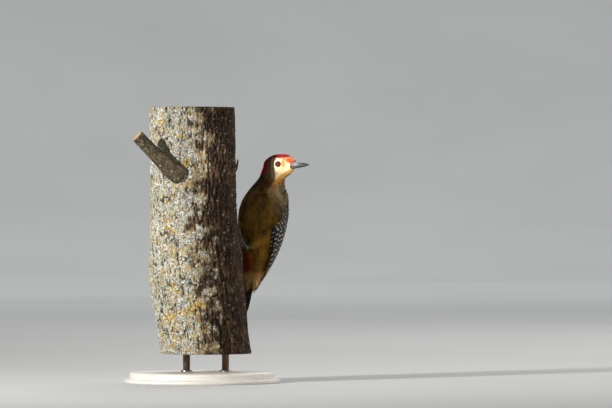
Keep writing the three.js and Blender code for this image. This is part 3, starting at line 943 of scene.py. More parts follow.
def tail_coverts(above, below):
    """The white rump and upper tail coverts, and the pale under tail coverts with their dark chevrons."""
    rump = []
    for row, height in enumerate(np.arange(149, 110, -5.2)):
        edge = wing_turn(height * MM, 1.0) - 24 if height > 120 else 138
        turns = even(edge, 360 - edge, 3.8, 15, row)
        rump += row_of(height, 12, turns, 2.9, (0.5, 1.3), sharp=3.5, white=0.8)
    made = laid_vanes("vanes_rump", rump, vane_pattern(4, 8), ON_BACK)
    piece(made, above)

    under = []
    for row, height in enumerate(np.arange(127, 112, -4.4)):
        edge = min(wing_turn(height * MM, 0.0) - 2, 105)
        middle_gap = 0 if height > 124 else 36
        for swing in SIDES.values():
            turns = even(middle_gap * swing, edge * swing, 3.8, 14, row)
            under += row_of(height, 12, turns, 2.7, (0.15, 1.1), sharp=2.6, white=0.8)
    made = laid_vanes("vanes_under_tail", under, vane_pattern(4, 8), ON_FRONT)
    piece(made, below)


# ---- the tail ----

def on_tail(heights, turns):
    """Points and normals on the upper side of the tail, for vanes laid on it."""
    heights, turns = np.broadcast_arrays(heights, turns)
    aside = np.radians(turns) * TAIL_RADIUS
    centres = on_line(heights, TAIL_LINE)
    normals = np.cross(centres - on_line(heights - MM, TAIL_LINE), np.array(LEFT))
    normals /= np.linalg.norm(normals, axis=-1, keepdims=True)
    normals = normals * np.sign(-(normals @ np.array(BELLY)))[..., None]
    sunk = aside * aside / 0.12
    return centres + aside[..., None] * np.array(LEFT) - sunk[..., None] * normals, normals


# The heights of the tail feathers' tips, and their shares of white, the middle pair's first.
TAIL_TIPS = (66.8, 69.0, 72.5, 76.5, 80.0)
TAIL_WHITE = (0.42, 0.04, 0.03, 0.05, 0.24)


def tail(finish):
    """Ten stiff tail feathers: the middle pair longest, pointed and uppermost, the outer ones under them."""
    feathers = []
    for order, tip in reversed(list(enumerate(TAIL_TIPS))):
        for swing in (1, -1):
            aside = swing * (1.2 + 1.8 * order) * MM
            root = swing * (order + 0.5) * 1.8 * MM
            feathers.append((
                126 - order, math.degrees(root / TAIL_RADIUS), tip, math.degrees(aside / TAIL_RADIUS),
                4.4 - 0.1 * order, 0.75 - 0.3 * order - 0.05 * swing, 0.55 - 0.26 * order - 0.05 * swing,
                -0.12 * swing, 4.0, TAIL_WHITE[order],
            ))
    made = laid_vanes("vanes_tail", feathers, vane_pattern(8, 24), on_tail, TAIL_RADIUS)
    piece(made, finish, replaces=("tail",))


# ---- the head's hard parts ----

# The way that each eye looks: out to its own side and a little forward.
GAZE = {side: (FACE_LEFT * swing + FACE * 0.3).normalized() for side, swing in SIDES.items()}


def at_eye(side):
    """The matrix that places things made round the origin at an eye, with Z along its gaze."""
    return Matrix.Translation(EYE[side]) @ GAZE[side].to_track_quat("Z", "Y").to_matrix().to_4x4()


def eyeball(side, finish):
    """One eye: a ball with a slight bulge over its dark iris, looking out to its own side."""
    gaze = GAZE[side]
    low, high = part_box("eye_" + side)
    radius = (high.z - low.z) / 2
    ball = bmesh.new()
    bmesh.ops.create_uvsphere(ball, u_segments=48, v_segments=40, radius=radius, matrix=at_eye(side))
    for vert in ball.verts:
        off = (vert.co - EYE[side]).normalized().dot(gaze)
        vert.co += gaze * 0.22 * MM * float(soft(off, 0.55, 1.0))
    mesh = mesh_from(ball, "eyeball_" + side)
    points, _ = arrays_of(mesh)
    away = (points - np.array(EYE[side])) / radius
    ahead = away @ np.array(gaze)
    off_gaze = np.linalg.norm(away - ahead[:, None] * np.array(gaze), axis=1)
    mark(mesh, ring=np.clip(off_gaze, 0, 1) + (ahead < 0))
    piece(mesh, finish, replaces=("eye_" + side,))


# The lid's section: distance from the line of sight and out from the eye's middle, in millimetres.
LID_SECTION = (
    (2.4, 2.1), (2.46, 2.34), (2.56, 2.44), (2.7, 2.34), (2.82, 2.0), (2.9, 1.5), (2.9, 0.8), (2.6, 1.0),
)


def eyelid(side, finish):
    """The bare ring of lid round an eye, drawn a little to an oval, with fine creases."""
    ring = spun([(out * MM, ahead * MM) for out, ahead in LID_SECTION], 56, ring=True)
    for vert in ring.verts:
        turn = math.atan2(vert.co.y, vert.co.x)
        out = vert.co.xy.length / MM
        creased = float(soft(out, 2.5, 2.65)) * (1 - float(soft(out, 2.85, 3.0)))
        vert.co.z += 0.05 * math.sin(turn * 28) * creased * MM
        vert.co.x *= 1.0 + 0.03 * math.cos(turn)
        vert.co.y *= 0.95
    bmesh.ops.transform(ring, matrix=at_eye(side), verts=ring.verts[:])
    rounded(piece(mesh_from(ring, "eyelid_" + side), finish), 1)


def bill(finish):
    """Both halves of the bill, worked up from their solids: a ridge along the top, and nostrils."""
    for half in ("upper", "lower"):
        shape = merged_copy("bill_" + half)
        bmesh.ops.subdivide_edges(shape, edges=shape.edges[:], cuts=1, use_grid_fill=True)
        points = np.array([vert.co for vert in shape.verts])
        behind, aside, up = head_place(points)
        ridge = 0.22 * (1 - soft(np.abs(aside), 0.0, 1.3)) * (1 - soft(-behind, 12, 23)) * (half == "upper")
        pit = patch((behind, aside, up), (-2.6, 3.0, 1.6), (1.7, 1.0, 0.8)) * (half == "upper")
        for vert, raised, sunk, left in zip(shape.verts, ridge, pit, aside):
            vert.co += UP * float(raised) * MM
            vert.co -= FACE_LEFT * math.copysign(0.5 * MM * float(sunk), left)
        mesh = mesh_from(shape, "bill_" + half + "_horn")
        points, _ = arrays_of(mesh)
        behind, aside, up = head_place(points)
        mark(mesh, ahead=-behind, aside=np.abs(aside), level=up)
        rounded(piece(mesh, finish, replaces=("bill_" + half,)), 2)


def on_cheek(behind, up, swing):
    """The place and the normal of the head's solid beside a head place, seen from that side."""
    place, normal, _, _ = HEAD_TREE.ray_cast(at_head(behind, 30 * swing, up), -FACE_LEFT * swing)
    return place, normal


def gape(side, finish):
    """The dark line of the mouth, which runs on from the bill below the front of the eye."""
    swing = SIDES[side]
    stations = [(-0.6 + 11.6 * step / 9, -1.0 - 2.3 * (step / 9) ** 1.5) for step in range(10)]
    rings = []
    for i, (behind, up) in enumerate(stations):
        place, normal = on_cheek(behind, up, swing)
        place = place - normal * 0.2 * MM if behind > 0.8 else at_head(behind, 4.3 * swing, up)
        size = (0.36 - 0.025 * i) * MM
        rings.append(across(place, -FACE, size * 0.8, size * 0.62))
    mesh = mesh_from(lofted(rings, 8), "gape_" + side)
    rounded(piece(mesh, finish), 1)


def nostril_bristles(side, finish):
    """The stiff orange-red feathers that lie forward over a nostril."""
    swing = SIDES[side]
    chance = np.random.default_rng(9)
    roots, tips, normals = [], [], []
    for _ in range(BRISTLES):
        behind, up = chance.uniform(1.6, 5.6), chance.uniform(1.4, 6.8)
        place, normal = on_cheek(behind, up, swing)
        if place is None:
            continue
        reach = chance.uniform(1.6, 2.9)
        tip = place + FACE * reach * MM - UP * chance.uniform(0.4, 1.3) * MM
        roots.append(place - normal * 0.8 * MM)
        tips.append(tip - FACE_LEFT * swing * 0.16 * reach * MM)
        normals.append(normal)
    roots, tips, normals = (np.array(field) for field in (roots, tips, normals))
    widths, places = np.full(len(roots), 0.13 * MM), unwrapped("head", roots)
    made = tufts("bristles_" + side, roots, tips, normals, widths, tuft_pattern(1, 0.0), 0.06 * MM, places)
    piece(made, finish)


# ---- feet ----

def foot(side, finish):
    """The scaly skin of one leg: tarsus and four toes in one, with rings of scutes on top and pads below."""
    toes = [f"toe_{side}_{toe}" for toe in TOES]
    shape = merged_copy("tarsus_" + side, *toes, swell=0.2 * MM)
    joint, shin, hip = ankle(side), middle("tarsus_" + side), middle("thigh_" + side)
    stations = [(shin, 0.5, 1.5), (shin, 0.15, 1.9), (joint, 0.0, 2.1), (hip, 0.2, 1.9), (hip, 0.5, 1.2)]
    rings = [
        across(joint.lerp(end, share), hip - shin, wide * MM, wide * MM) for end, share, wide in stations
    ]
    mesh_into(shape, lofted(rings, 12))
    shape = remeshed(shape, FOOT_VOXEL)
    smoothed(shape, 2)
    near_joint = [vert for vert in shape.verts if (vert.co - joint).length < 4.5 * MM]
    smoothed(shape, 14, near_joint)
    lines = [(shin + UP * 9 * MM, shin - UP * 9 * MM)]
    for toe in TOES:
        lines.append((shin, middle(f"claw_{side}_{toe}")))
    points = np.array([vert.co for vert in shape.verts])
    normals = np.array([vert.normal for vert in shape.verts])
    distance = np.full(len(points), 1.0)
    along = np.zeros(len(points))
    for start, end in lines:
        start, end = np.array(start), np.array(end)
        way = (end - start) / np.linalg.norm(end - start)
        reach = (points - start) @ way
        off = np.linalg.norm(points - start - reach[:, None] * way, axis=1)
        nearer = off < distance
        distance = np.where(nearer, off, distance)
        along = np.where(nearer, reach / MM, along)
    outward = points[:, :2] - on_line(points[:, 2], PERCH_LINE)[:, :2]
    outward /= np.linalg.norm(outward, axis=1, keepdims=True)
    top = soft((normals[:, :2] * outward).sum(axis=1), -0.2, 0.5)
    scute = np.abs(np.sin(along * math.pi / SCUTE_LENGTH))
    relief = (scute ** 0.5 * 0.16 - 0.22) * MM * top - 0.12 * MM * (1 - top)
    for vert, raised in zip(shape.verts, relief):
        vert.co += vert.normal * float(raised)
    mesh = mesh_from(shape, "foot_" + side)
    mark(mesh, along=along, top=top)
    piece(mesh, finish, replaces=("tarsus_" + side, *toes))


def claws(side, finish):
    """The four curved claws of one foot, each smoothed from its solid."""
    for toe in TOES:
        node = f"claw_{side}_{toe}"
        mesh = mesh_from(merged_copy(node), node + "_horn")
        rounded(piece(mesh, finish, replaces=(node,)), 2)


# ---- the perch ----

TRUNK_STEPS, TRUNK_ROWS, END_ROWS = 288, 306, 13
STUB_WAY = Vector((-0.72, -0.19, 0.66)).normalized()
SNAG_WAY = Vector((6.5, -1.0, 20.0)).normalized()


def perch_centre(height):
    return Vector(on_line(height, PERCH_LINE))


def crust_at(place):
    """How high the bark's crust stands at a place, from 0 to 1."""
    return min(max(0.5 + 0.5 * noise.fractal(place * 300, 0.9, 2.1, 4), 0.0), 1.0)


def bark(place, bare):
    """How cracked the bark is at a place, and how high its crust stands, each from 0 to 1."""
    wander = noise.noise_vector(place * 45) * 2.0 * MM + noise.noise_vector(place * 180) * 0.8 * MM
    warped = place + wander
    tall = Vector((warped.x, warped.y, warped.z * 0.2)) / (4.6 * MM)
    near, second = noise.voronoi(tall)[0][:2]
    broken = float(soft(noise.noise(place * 95 + Vector((3, 7, 1))), -0.35, 0.25))
    plates = (1 - float(soft(second - near, 0.02, 0.16))) * broken
    narrow = Vector((warped.x, warped.y, warped.z * 0.1)) / (2.8 * MM)
    furrows = 1 - float(soft(abs(noise.noise(narrow)), 0.02, 0.2))
    small = Vector((warped.x, warped.y, warped.z * 0.5)) / (1.7 * MM)
    pits = float(soft(noise.noise(small), 0.2, 0.5)) * 0.7
    return max(plates, furrows * (0.25 + 0.6 * bare), pits * (1 - 0.6 * bare)), crust_at(place)


def lichen_cover(turn, place):
    """How fully the crust of pale lichen covers the bark: all round but for the bare side, whose bark is also
    painted darker as shade.
    """
    off = abs((turn - BARE_SIDE + 180) % 360 - 180)
    ragged = noise.fractal(place * 70, 0.8, 2.0, 3) * 26
    return float(soft(off + ragged, 38, 74))


def sawn_depth(way, share, height, crust):
    """How deep a sawn end lies, a share of the way out from its pith: rings, splits and a rim of bark."""
    check = abs(noise.noise(Vector((way.x * 2.4, way.y * 2.4, 7.0 + height))))
    split = float(1 - soft(check, 0.0, 0.05)) * float(soft(share, 0.1, 0.5)) * 1.2
    ring = 0.12 * math.sin(share * GROWTH_RINGS * math.tau + noise.noise(way * 1.5) * 3)
    return (split + ring + 0.15 + 0.6 * float(soft(share, 0.93, 0.97)) * (1 - crust)) * MM


def trunk(finish):
    """The cut length of trunk: cracked bark all round and sawn ends, laid inside its solid's outline."""
    low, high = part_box("perch_trunk")
    low, high = low.z, high.z
    ends = [step / END_ROWS for step in range(END_ROWS)]
    profile = [(share, low) for share in ends]
    profile += [(1.0, low + (high - low) * step / TRUNK_ROWS) for step in range(TRUNK_ROWS + 1)]
    profile += [(share, high) for share in reversed(ends)]
    shape = spun(profile, TRUNK_STEPS)
    cracks, crusts, covers, ends_marked, radii, where = [], [], [], [], [], []
    for vert in shape.verts:
        share, height = vert.co.xy.length, vert.co.z
        turn = math.atan2(vert.co.y, vert.co.x)
        way = Vector((math.cos(turn), math.sin(turn), 0))
        centre = perch_centre(height)
        probe = min(max(height, low + 0.3 * MM), high - 0.3 * MM)
        hit, _, _, _ = PERCH_TREE.ray_cast(Vector((centre.x, centre.y, probe)), way)
        radius = (hit.xy - centre.xy).length
        place = way * PERCH_RADIUS + UP * height
        cover = lichen_cover(math.degrees(turn), place)
        crack, crust = bark(place, 1 - cover)
        sunk = crack * (1.3 + 1.1 * (1 - cover)) * MM - crust * 0.6 * MM + 0.3 * MM
        at_end = 1.0 if share < 0.999 else 0.0
        edge = min(height - low, high - height) / MM
        rim = float(1 - soft(edge, 0.0, 1.6)) * (0.5 + 0.6 * crust) * MM
        reach = (radius - sunk - rim) * share
        vert.co = Vector((centre.x, centre.y, height)) + way * reach
        if at_end:
            depth = sawn_depth(way, share, height, crust)
            vert.co.z += depth if height < (low + high) / 2 else -depth
        cracks.append(crack)
        crusts.append(crust)
        covers.append(cover)
        ends_marked.append(at_end)
        radii.append(share)
        where.append((math.degrees(turn) / 360, (height - low) / (high - low)))
    mesh = mesh_from(shape, "trunk_bark")
    mark(mesh, crack=cracks, crust=crusts, cover=covers, sawn=ends_marked, from_pith=radii)
    lay_out_trunk(mesh, np.array(where), np.array(ends_marked) > 0.5, np.array(radii))
    piece(mesh, finish, replaces=("perch_trunk",))
    return mesh


def lay_out_trunk(mesh, where, at_end, radii):
    """The trunk's bake map: the bark unrolled, with the two sawn ends as discs beside it."""
    layer = mesh.uv_layers.new(name="OFBake")
    corners = np.empty(len(mesh.loops), np.int32)
    mesh.loops.foreach_get("vertex_index", corners)
    starts = np.empty(len(mesh.polygons), np.int32)
    mesh.polygons.foreach_get("loop_start", starts)
    totals = np.empty(len(mesh.polygons), np.int32)
    mesh.polygons.foreach_get("loop_total", totals)
    face_of = np.repeat(np.arange(len(starts)), totals)
    turn, height = where[corners].T
    first = turn[starts][face_of]
    turn = np.where(turn - first > 0.5, turn - 1, np.where(turn - first < -0.5, turn + 1, turn))
    side = np.stack([0.01 + (turn + 0.505) * 0.86, 0.01 + height * 0.98], axis=1)
    ends = np.maximum.reduceat(at_end[corners], starts)[face_of]
    top = height > 0.5
    circled = np.stack([np.cos(turn * math.tau), np.sin(turn * math.tau)], axis=1) * radii[corners][:, None]
    disc = circled * 0.055 + np.where(top[:, None], [[0.94, 0.9]], [[0.94, 0.75]])
    layer.data.foreach_set("uv", np.where(ends[:, None], disc, side).astype(np.float32).ravel())


def limb(node, name, voxel, way, finish):
    """A branch stub or snag that grows a way, remade fine from its solid, with thin bark and a bare end."""
    shape = remeshed(merged_copy(node), voxel)
    smoothed(shape, 1)
    points = np.array([vert.co for vert in shape.verts])
    reach = points @ np.array(way)
    facing = np.array([vert.normal for vert in shape.verts]) @ np.array(way)
    at_end = soft(facing, 0.62, 0.86) * (reach > reach.max() - 7 * MM)
    cracks, crusts = [], []
    for vert, cut in zip(shape.verts, at_end):
        place = vert.co
        aligned = place - way * place.dot(way) * 0.6
        near, second = noise.voronoi(aligned / (2.6 * MM))[0][:2]
        cracks.append((1 - float(soft(second - near, 0.02, 0.3))) * (1 - float(cut)))
        crusts.append(crust_at(place))
    for vert, crack, crust in zip(shape.verts, cracks, crusts):
        vert.co -= vert.normal * (0.45 * crack + 0.3 * (1 - crust)) * MM
    mesh = mesh_from(shape, name)
    cover, from_pith = np.full(len(points), 0.12), np.full(len(points), 0.5)
    mark(mesh, crack=cracks, crust=crusts, cover=cover, sawn=at_end, from_pith=from_pith)
    piece(mesh, finish, replaces=(node,))


def lichens(finish, trunk_mesh):
    """Small raised rosettes and cushions of lichen on the bark, thickest on the weathered side."""
    tree = BVHTree.FromPolygons(*trunk_surface(trunk_mesh))
    points, faces = rosette_pattern()
    chance = np.random.default_rng(5)
    made, tones, golds, rings = [], [], [], []
    low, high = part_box("perch_trunk")
    while len(made) < LICHENS:
        turn, height = chance.uniform(0, 360), chance.uniform(low.z + 4 * MM, high.z - 4 * MM)
        way = heading(turn)
        cover = lichen_cover(turn, way * PERCH_RADIUS + UP * height)
        if chance.random() > cover:
            continue
        place, normal, _, _ = tree.ray_cast(perch_centre(height) + way * 0.09, -way)
        gold = chance.random() < 0.3
        size = (chance.uniform(0.6, 1.2) if gold else chance.uniform(0.9, 2.2)) * MM
        turned = (way + normal * 0.4).to_track_quat("Z", "Y").to_matrix()
        round_it = np.arctan2(points[:, 1], points[:, 0])
        lobes = (1 + 0.16 * np.sin(round_it * chance.integers(4, 8) + chance.uniform(0, 6))) * size
        flat = points * np.stack([lobes, lobes, np.full(len(points), 0.55 * MM + 0.12 * size)], axis=1)
        world = flat @ np.array(turned).T + np.array(place)
        for i, spot in enumerate(world):
            reach = (Vector((spot[0], spot[1], 0)) - Vector((*perch_centre(spot[2]).xy, 0))).normalized()
            ground, _, _, _ = tree.ray_cast(Vector(spot) + reach * 0.02, -reach)
            if ground is not None:
                above = flat[i, 2] - (0.35 * MM if points[i, 2] < 0.05 else 0)
                world[i] = ground + reach * above
        made.append(world)
        tones.append(np.full(len(points), chance.random()))
        golds.append(np.full(len(points), float(gold)))
        rings.append(np.hypot(points[:, 0], points[:, 1]))
    count = len(made)
    all_faces = (faces[None] + (np.arange(count) * len(points))[:, None, None]).reshape(-1, faces.shape[1])
    columns = math.ceil(math.sqrt(count))
    index = np.arange(count)
    corner = np.stack([index % columns + 0.5, index // columns + 0.5], axis=1)
    on_map = (corner[:, None] + points[None, :, :2] * 0.45) / columns
    mesh = joined_mesh("lichens", np.concatenate(made), all_faces, on_map.reshape(-1, 2))
    mark(mesh, tone=np.concatenate(tones), gold=np.concatenate(golds), ring=np.concatenate(rings))
    piece(mesh, finish)


def rosette_pattern():
    """A low dome of radius 1 with a rim that tucks down, as arrays of points and triangles."""
    shape = bmesh.new()
    bmesh.ops.create_circle(shape, cap_ends=True, cap_tris=True, segments=14, radius=1.0)
    bmesh.ops.subdivide_edges(shape, edges=[e for e in shape.edges if not e.is_boundary], cuts=2)
    bmesh.ops.triangulate(shape, faces=shape.faces[:])
    shape.normal_update()
    rim = [edge for edge in shape.edges if edge.is_boundary]
    for vert in shape.verts:
        out = vert.co.xy.length
        vert.co.z = 0.75 + 0.25 * math.sin(out * 7) if out < 0.97 else 0.5
    grown = bmesh.ops.extrude_edge_only(shape, edges=rim)
    lower = [part for part in grown["geom"] if isinstance(part, bmesh.types.BMVert)]
    bmesh.ops.transform(shape, matrix=Matrix.Diagonal((1.04, 1.04, 0, 1)), verts=lower)
    bmesh.ops.holes_fill(shape, edges=[edge for edge in shape.edges if edge.is_boundary])
    bmesh.ops.triangulate(shape, faces=shape.faces[:])
    bmesh.ops.recalc_face_normals(shape, faces=shape.faces[:])
    shape.verts.ensure_lookup_table()
    points = np.array([vert.co for vert in shape.verts])
    faces = np.array([[vert.index for vert in face.verts] for face in shape.faces])
    shape.free()
    return points, faces


def trunk_surface(mesh):
    points, _ = arrays_of(mesh)
    return [Vector(point) for point in points], [tuple(face.vertices) for face in mesh.polygons]


# ---- the stand ----

def stand_base(finish):
    """The turned wooden base: a flat foot, a cove and a rounded top edge, within the plain disc's size."""
    low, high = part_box("stand_base")
    radius = (high.x - low.x) / 2
    cove = [
        (radius - 3.4 * MM - 2.6 * MM * out, low.z + 4.2 * MM + 3.2 * MM * up) for out, up in quarter(8)
    ]
    crown = [
        (radius - 6.0 * MM - 3.0 * MM * out, high.z - 3.0 * MM + 3.0 * MM * up) for up, out in quarter(8)
    ]
    foot_edge = [(radius - 0.6 * MM, low.z), (radius, low.z + 0.6 * MM), (radius, low.z + 3.4 * MM)]
    profile = [(0, low.z), (radius * 0.5, low.z), *foot_edge, (radius - 0.7 * MM, low.z + 4.2 * MM)]
    profile += [*cove, *crown, (radius * 0.5, high.z), (0, high.z)]
    shape = spun(profile, 160)
    bmesh.ops.translate(shape, vec=(middle("stand_base").x, middle("stand_base").y, 0), verts=shape.verts[:])
    mesh = mesh_from(shape, "stand_base_turned")
    piece(mesh, finish, replaces=("stand_base",))


def stand_rod(side, finish):
    """A steel rod from base to trunk, with a small turned collar where it enters the base."""
    low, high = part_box("stand_rod_" + side)
    centre = (low + high) / 2
    radius = (high.x - low.x) / 2
    collar = [(2.6, 0.0), (2.6, 1.2), (2.3, 1.7), (1.6, 2.0), (0.4, 2.2), (0.0, 2.2)]
    profile = [(0, low.z), *[(radius + out * MM, low.z + up * MM) for out, up in collar]]
    profile += [(radius, high.z - 0.4 * MM), (radius - 0.4 * MM, high.z), (0, high.z)]
    shape = spun(profile, 64)
    bmesh.ops.translate(shape, vec=(centre.x, centre.y, 0), verts=shape.verts[:])
    name = "stand_rod_" + side + "_steel"
    piece(mesh_from(shape, name), finish, replaces=("stand_rod_" + side,))


# ---- node helpers ----

class Wire:
    """One value in a shader's node tree. Arithmetic with it adds the maths nodes that work it out."""

    def __init__(self, tree, socket):
        self.tree = tree
        self.socket = socket

    def __add__(self, other):
        return maths("ADD", self, other)

    def __sub__(self, other):
        return maths("SUBTRACT", self, other)

    def __rsub__(self, other):
        return maths("SUBTRACT", other, self)

    def __mul__(self, other):
        return maths("MULTIPLY", self, other)

    def __truediv__(self, other):
        return maths("DIVIDE", self, other)

    def __abs__(self):
        return maths("ABSOLUTE", self)


def feed(value, plug):
    """Links a wire to an input, or sets a number or a colour on it."""
    if isinstance(value, Wire):
        value.tree.links.new(value.socket, plug)
    else:
        plug.default_value = value


def maths(operation, *values):
    """The result of a maths node on wires and numbers."""
    tree = next(value.tree for value in values if isinstance(value, Wire))
    made = tree.nodes.new("ShaderNodeMath")
    made.operation = operation
    for value, plug in zip(values, made.inputs):
        feed(value, plug)
    return Wire(tree, made.outputs[0])


def add(tree, kind, output, settings=None, **inputs):
    """One output of a new shader node with these settings and named inputs. Underscores stand for spaces."""
    made = tree.nodes.new("ShaderNode" + kind)
    for name, value in (settings or {}).items():
        setattr(made, name, value)
    for name, value in inputs.items():
        feed(value, made.inputs[name.replace("_", " ")])
    return Wire(tree, made.outputs[output])


def shader_colour(colour):
    """A colour of three numbers, as it looks on a screen, made linear. Wires and linear colours pass."""
    return linear(*colour) if isinstance(colour, tuple) and len(colour) == 3 else colour


def mix(share, first, second, blend="MIX"):
    """Two colours mixed by a share."""
    tree = next(value.tree for value in (share, first, second) if isinstance(value, Wire))
    made = tree.nodes.new("ShaderNodeMix")
    made.data_type = "RGBA"
    made.blend_type = blend
    feed(share, made.inputs[0])
    feed(shader_colour(first), made.inputs[6])
    feed(shader_colour(second), made.inputs[7])
    return Wire(tree, made.outputs[2])


def multiplied(colour, factors):
    return mix(1.0, colour, factors, "MULTIPLY")


def dimmed(colour, shade):
    """A colour made lighter or darker by a shade, where 1 leaves it alone."""
    return multiplied(colour, add(colour.tree, "CombineColor", 0, Red=shade, Green=shade, Blue=shade))


def between(value, start, end):
    """0 to 1, smoothly, as a value goes from start to end."""
    smooth = {"interpolation_type": "SMOOTHSTEP"}
    return add(value.tree, "MapRange", "Result", smooth, Value=value, From_Min=start, From_Max=end)


def band(value, start, full, fading, end):
    """1 while a value is from full to fading, and 0 before start and after end."""
    return between(value, start, full) * (1 - between(value, fading, end))


def ranging(value, low, high):
    """A value from 0 to 1 stretched to run from low to high."""
    return add(value.tree, "MapRange", "Result", Value=value, To_Min=low, To_Max=high)


def stops(value, *colours):
    """A colour ramp through (place, colour) stops."""
    made = value.tree.nodes.new("ShaderNodeValToRGB")
    feed(value, made.inputs[0])
    ramp = made.color_ramp
    while len(ramp.elements) < len(colours):
        ramp.elements.new(1.0)
    for element, (place, colour) in zip(ramp.elements, colours):
        element.position = place
        element.color = shader_colour(colour)
    return Wire(value.tree, made.outputs[0])


def attribute(tree, name):
    return add(tree, "Attribute", "Fac", {"attribute_name": name})


def own_place(tree):
    return add(tree, "TexCoord", "Object")


def pattern_noise(tree, scale, detail=3.0, roughness=0.55, stretch=None):
    """Noise over the object's own coordinates, in cycles for each metre."""
    place = own_place(tree)
    if stretch:
        place = add(tree, "Mapping", 0, Vector=place, Scale=stretch)
    return add(tree, "TexNoise", "Fac", Vector=place, Scale=scale, Detail=detail, Roughness=roughness)


def material(name, **constants):
    """A new material, with its constant inputs set on the Principled shader itself."""
    made = bpy.data.materials.new(name)
    made.use_nodes = True
    shader = made.node_tree.nodes["Principled BSDF"]
    for key, value in constants.items():
        shader.inputs[key.replace("_", " ")].default_value = value
    return made, made.node_tree


def finished(made, colour, relief=None, roughness=None):
    """Feeds a material its colour, its relief as (height, distance, strength), and its roughness."""
    plugs = made.node_tree.nodes["Principled BSDF"].inputs
    feed(colour, plugs["Base Color"])
    if relief:
        height, distance, strength = relief
        raised = add(made.node_tree, "Bump", 0, Height=height, Distance=distance, Strength=strength)
        feed(raised, plugs["Normal"])
    if roughness:
        feed(roughness, plugs["Roughness"])
    return made


def group(name, inputs, outputs):
    """A shader node group with number inputs and named outputs: its tree, its inputs and its output node."""
    tree = bpy.data.node_groups.new(name, "ShaderNodeTree")
    for key, value in inputs.items():
        plug = tree.interface.new_socket(key, in_out="INPUT", socket_type="NodeSocketFloat")
        plug.default_value = value
    for key, kind in outputs.items():
        tree.interface.new_socket(key, in_out="OUTPUT", socket_type=kind)
    given = wires(tree, tree.nodes.new("NodeGroupInput"))
    return tree, given, tree.nodes.new("NodeGroupOutput").inputs


def placed(tree, shared, **inputs):
    """The outputs, by name, of a shared node group placed in a tree."""
    made = tree.nodes.new("ShaderNodeGroup")
    made.node_tree = shared
    for key, value in inputs.items():
        feed(value, made.inputs[key])
    return wires(tree, made)


def wires(tree, node):
    return {plug.name: Wire(tree, plug) for plug in node.outputs}


# ---- effects that materials share ----

BREAST_BUFF = (160, 126, 66)
RUMP_WHITE = (226, 220, 202)
BAR_BLACK = (14, 13, 13)
BAR_WHITE = (226, 220, 200)

# The markings in the order they are laid: attribute, colour, and the greatest share of it. The warm lower
# body, golden flanks, ochre chin and dark hindneck are partly painted shade.
MARKING_COLOURS = (
    ("warm_shade", (178, 136, 38), 0.8), ("chest", (210, 190, 148), 0.75), ("nape_shade", (78, 74, 58), 0.9),
    ("flank", (236, 178, 56), 0.85), ("vent", (206, 164, 92), 0.75), ("wash", (190, 58, 12), 0.8),
    ("rump", RUMP_WHITE, 1.0), ("mantle", BAR_BLACK, 0.9), ("face", (246, 222, 176), 1.0),
    ("chin_shade", (206, 158, 64), 0.95), ("brow", (246, 226, 196), 0.9), ("forehead", (246, 186, 112), 0.9),
    ("lore", (240, 156, 62), 0.95), ("nostril_tuft", (242, 84, 18), 1.0), ("crown", (206, 18, 26), 1.0),
)


def markings_group():
    """The bird's colours, with some painted shade, laid in turn over its buff ground by the marking
    attributes.
    """
    tree, _, result = group("Markings", {}, {"Color": "NodeSocketColor"})
    colour = stops(
        pattern_noise(tree, 85.0, 4.0, 0.6),
        (0.36, (138, 74, 24)), (0.47, BREAST_BUFF), (0.58, (160, 136, 84)), (0.68, (190, 166, 106)),
    )
    streaks = (pattern_noise(tree, 620.0, 2.0) - 0.5) * 0.5
    for name, tint, most in MARKING_COLOURS:
        mask = attribute(tree, name)
        ragged = mask + streaks * (mask * (1 - mask))
        colour = mix(between(ragged, 0.12, 0.88) * most, colour, tint)
    blotches = stops(
        pattern_noise(tree, 120.0, 5.0, 0.68, (1, 1, 0.6)),
        (0.41, (0.56, 0.50, 0.42, 1)), (0.5, (1.0, 1.0, 1.0, 1)), (0.59, (1.42, 1.34, 1.16, 1)),
    )
    feed(mix(1 - attribute(tree, "face"), colour, multiplied(colour, blotches)), result["Color"])
    return tree


def barbs_group():
    """The fine slanting barbs of a feather, from its along and across attributes: a painted shade in the
    grooves between them, and a height.
    """
    tree, given, result = group(
        "Feather barbs", {"Barbs": 26.0}, {"Shade": "NodeSocketFloat", "Height": "NodeSocketFloat"}
    )
    aside = abs(attribute(tree, "across"))
    wave = (attribute(tree, "along") + aside * -0.22) * given["Barbs"]
    ridge = abs(maths("SINE", (wave + pattern_noise(tree, 900.0, 2.0) * 0.9) * math.pi))
    shaft = 1 - between(aside, 0.03, 0.10)
    # Painted shade: darker in the grooves between the barbs.
    feed(ridge * 0.22 + 0.78, result["Shade"])
    feed(ridge * 0.5 + shaft * 0.6, result["Height"])
    return tree


def cross_bars_group():
    """White cross bars on a black vane, broken at the shaft, from its distance and across attributes."""
    tree, given, result = group(
        "Cross bars",
        {"Period": 4.8, "White": 0.4, "Shaft": 0.12, "Slant": 0.5, "Margin": 0.8, "Jumble": 1.6},
        {"Mask": "NodeSocketFloat"},
    )
    aside = abs(attribute(tree, "across"))
    wobble = (pattern_noise(tree, 420.0, 2.0) - 0.5) * 1.5
    slanted = attribute(tree, "distance") - aside * given["Slant"]
    run = slanted + wobble + attribute(tree, "tone") * given["Jumble"]
    cycle = maths("PINGPONG", run / given["Period"], 0.5)
    edge = given["White"] * 0.5
    bar = between(cycle, edge + 0.035, edge - 0.035)
    web = between(aside - given["Shaft"], -0.06, 0.06)
    feed(bar * (web * between(aside, 1.0, given["Margin"])), result["Mask"])
    return tree


def shadowed(colour, low):
    """Darkens a coat colour to low at the feathers' roots, as painted shade where they lie under the feathers
    above, and varies it a little from feather to feather.
    """
    root, each = attribute(colour.tree, "along"), attribute(colour.tree, "tone")
    return dimmed(colour, ranging(root, low, 1.0) * ranging(each, 0.9, 1.06))


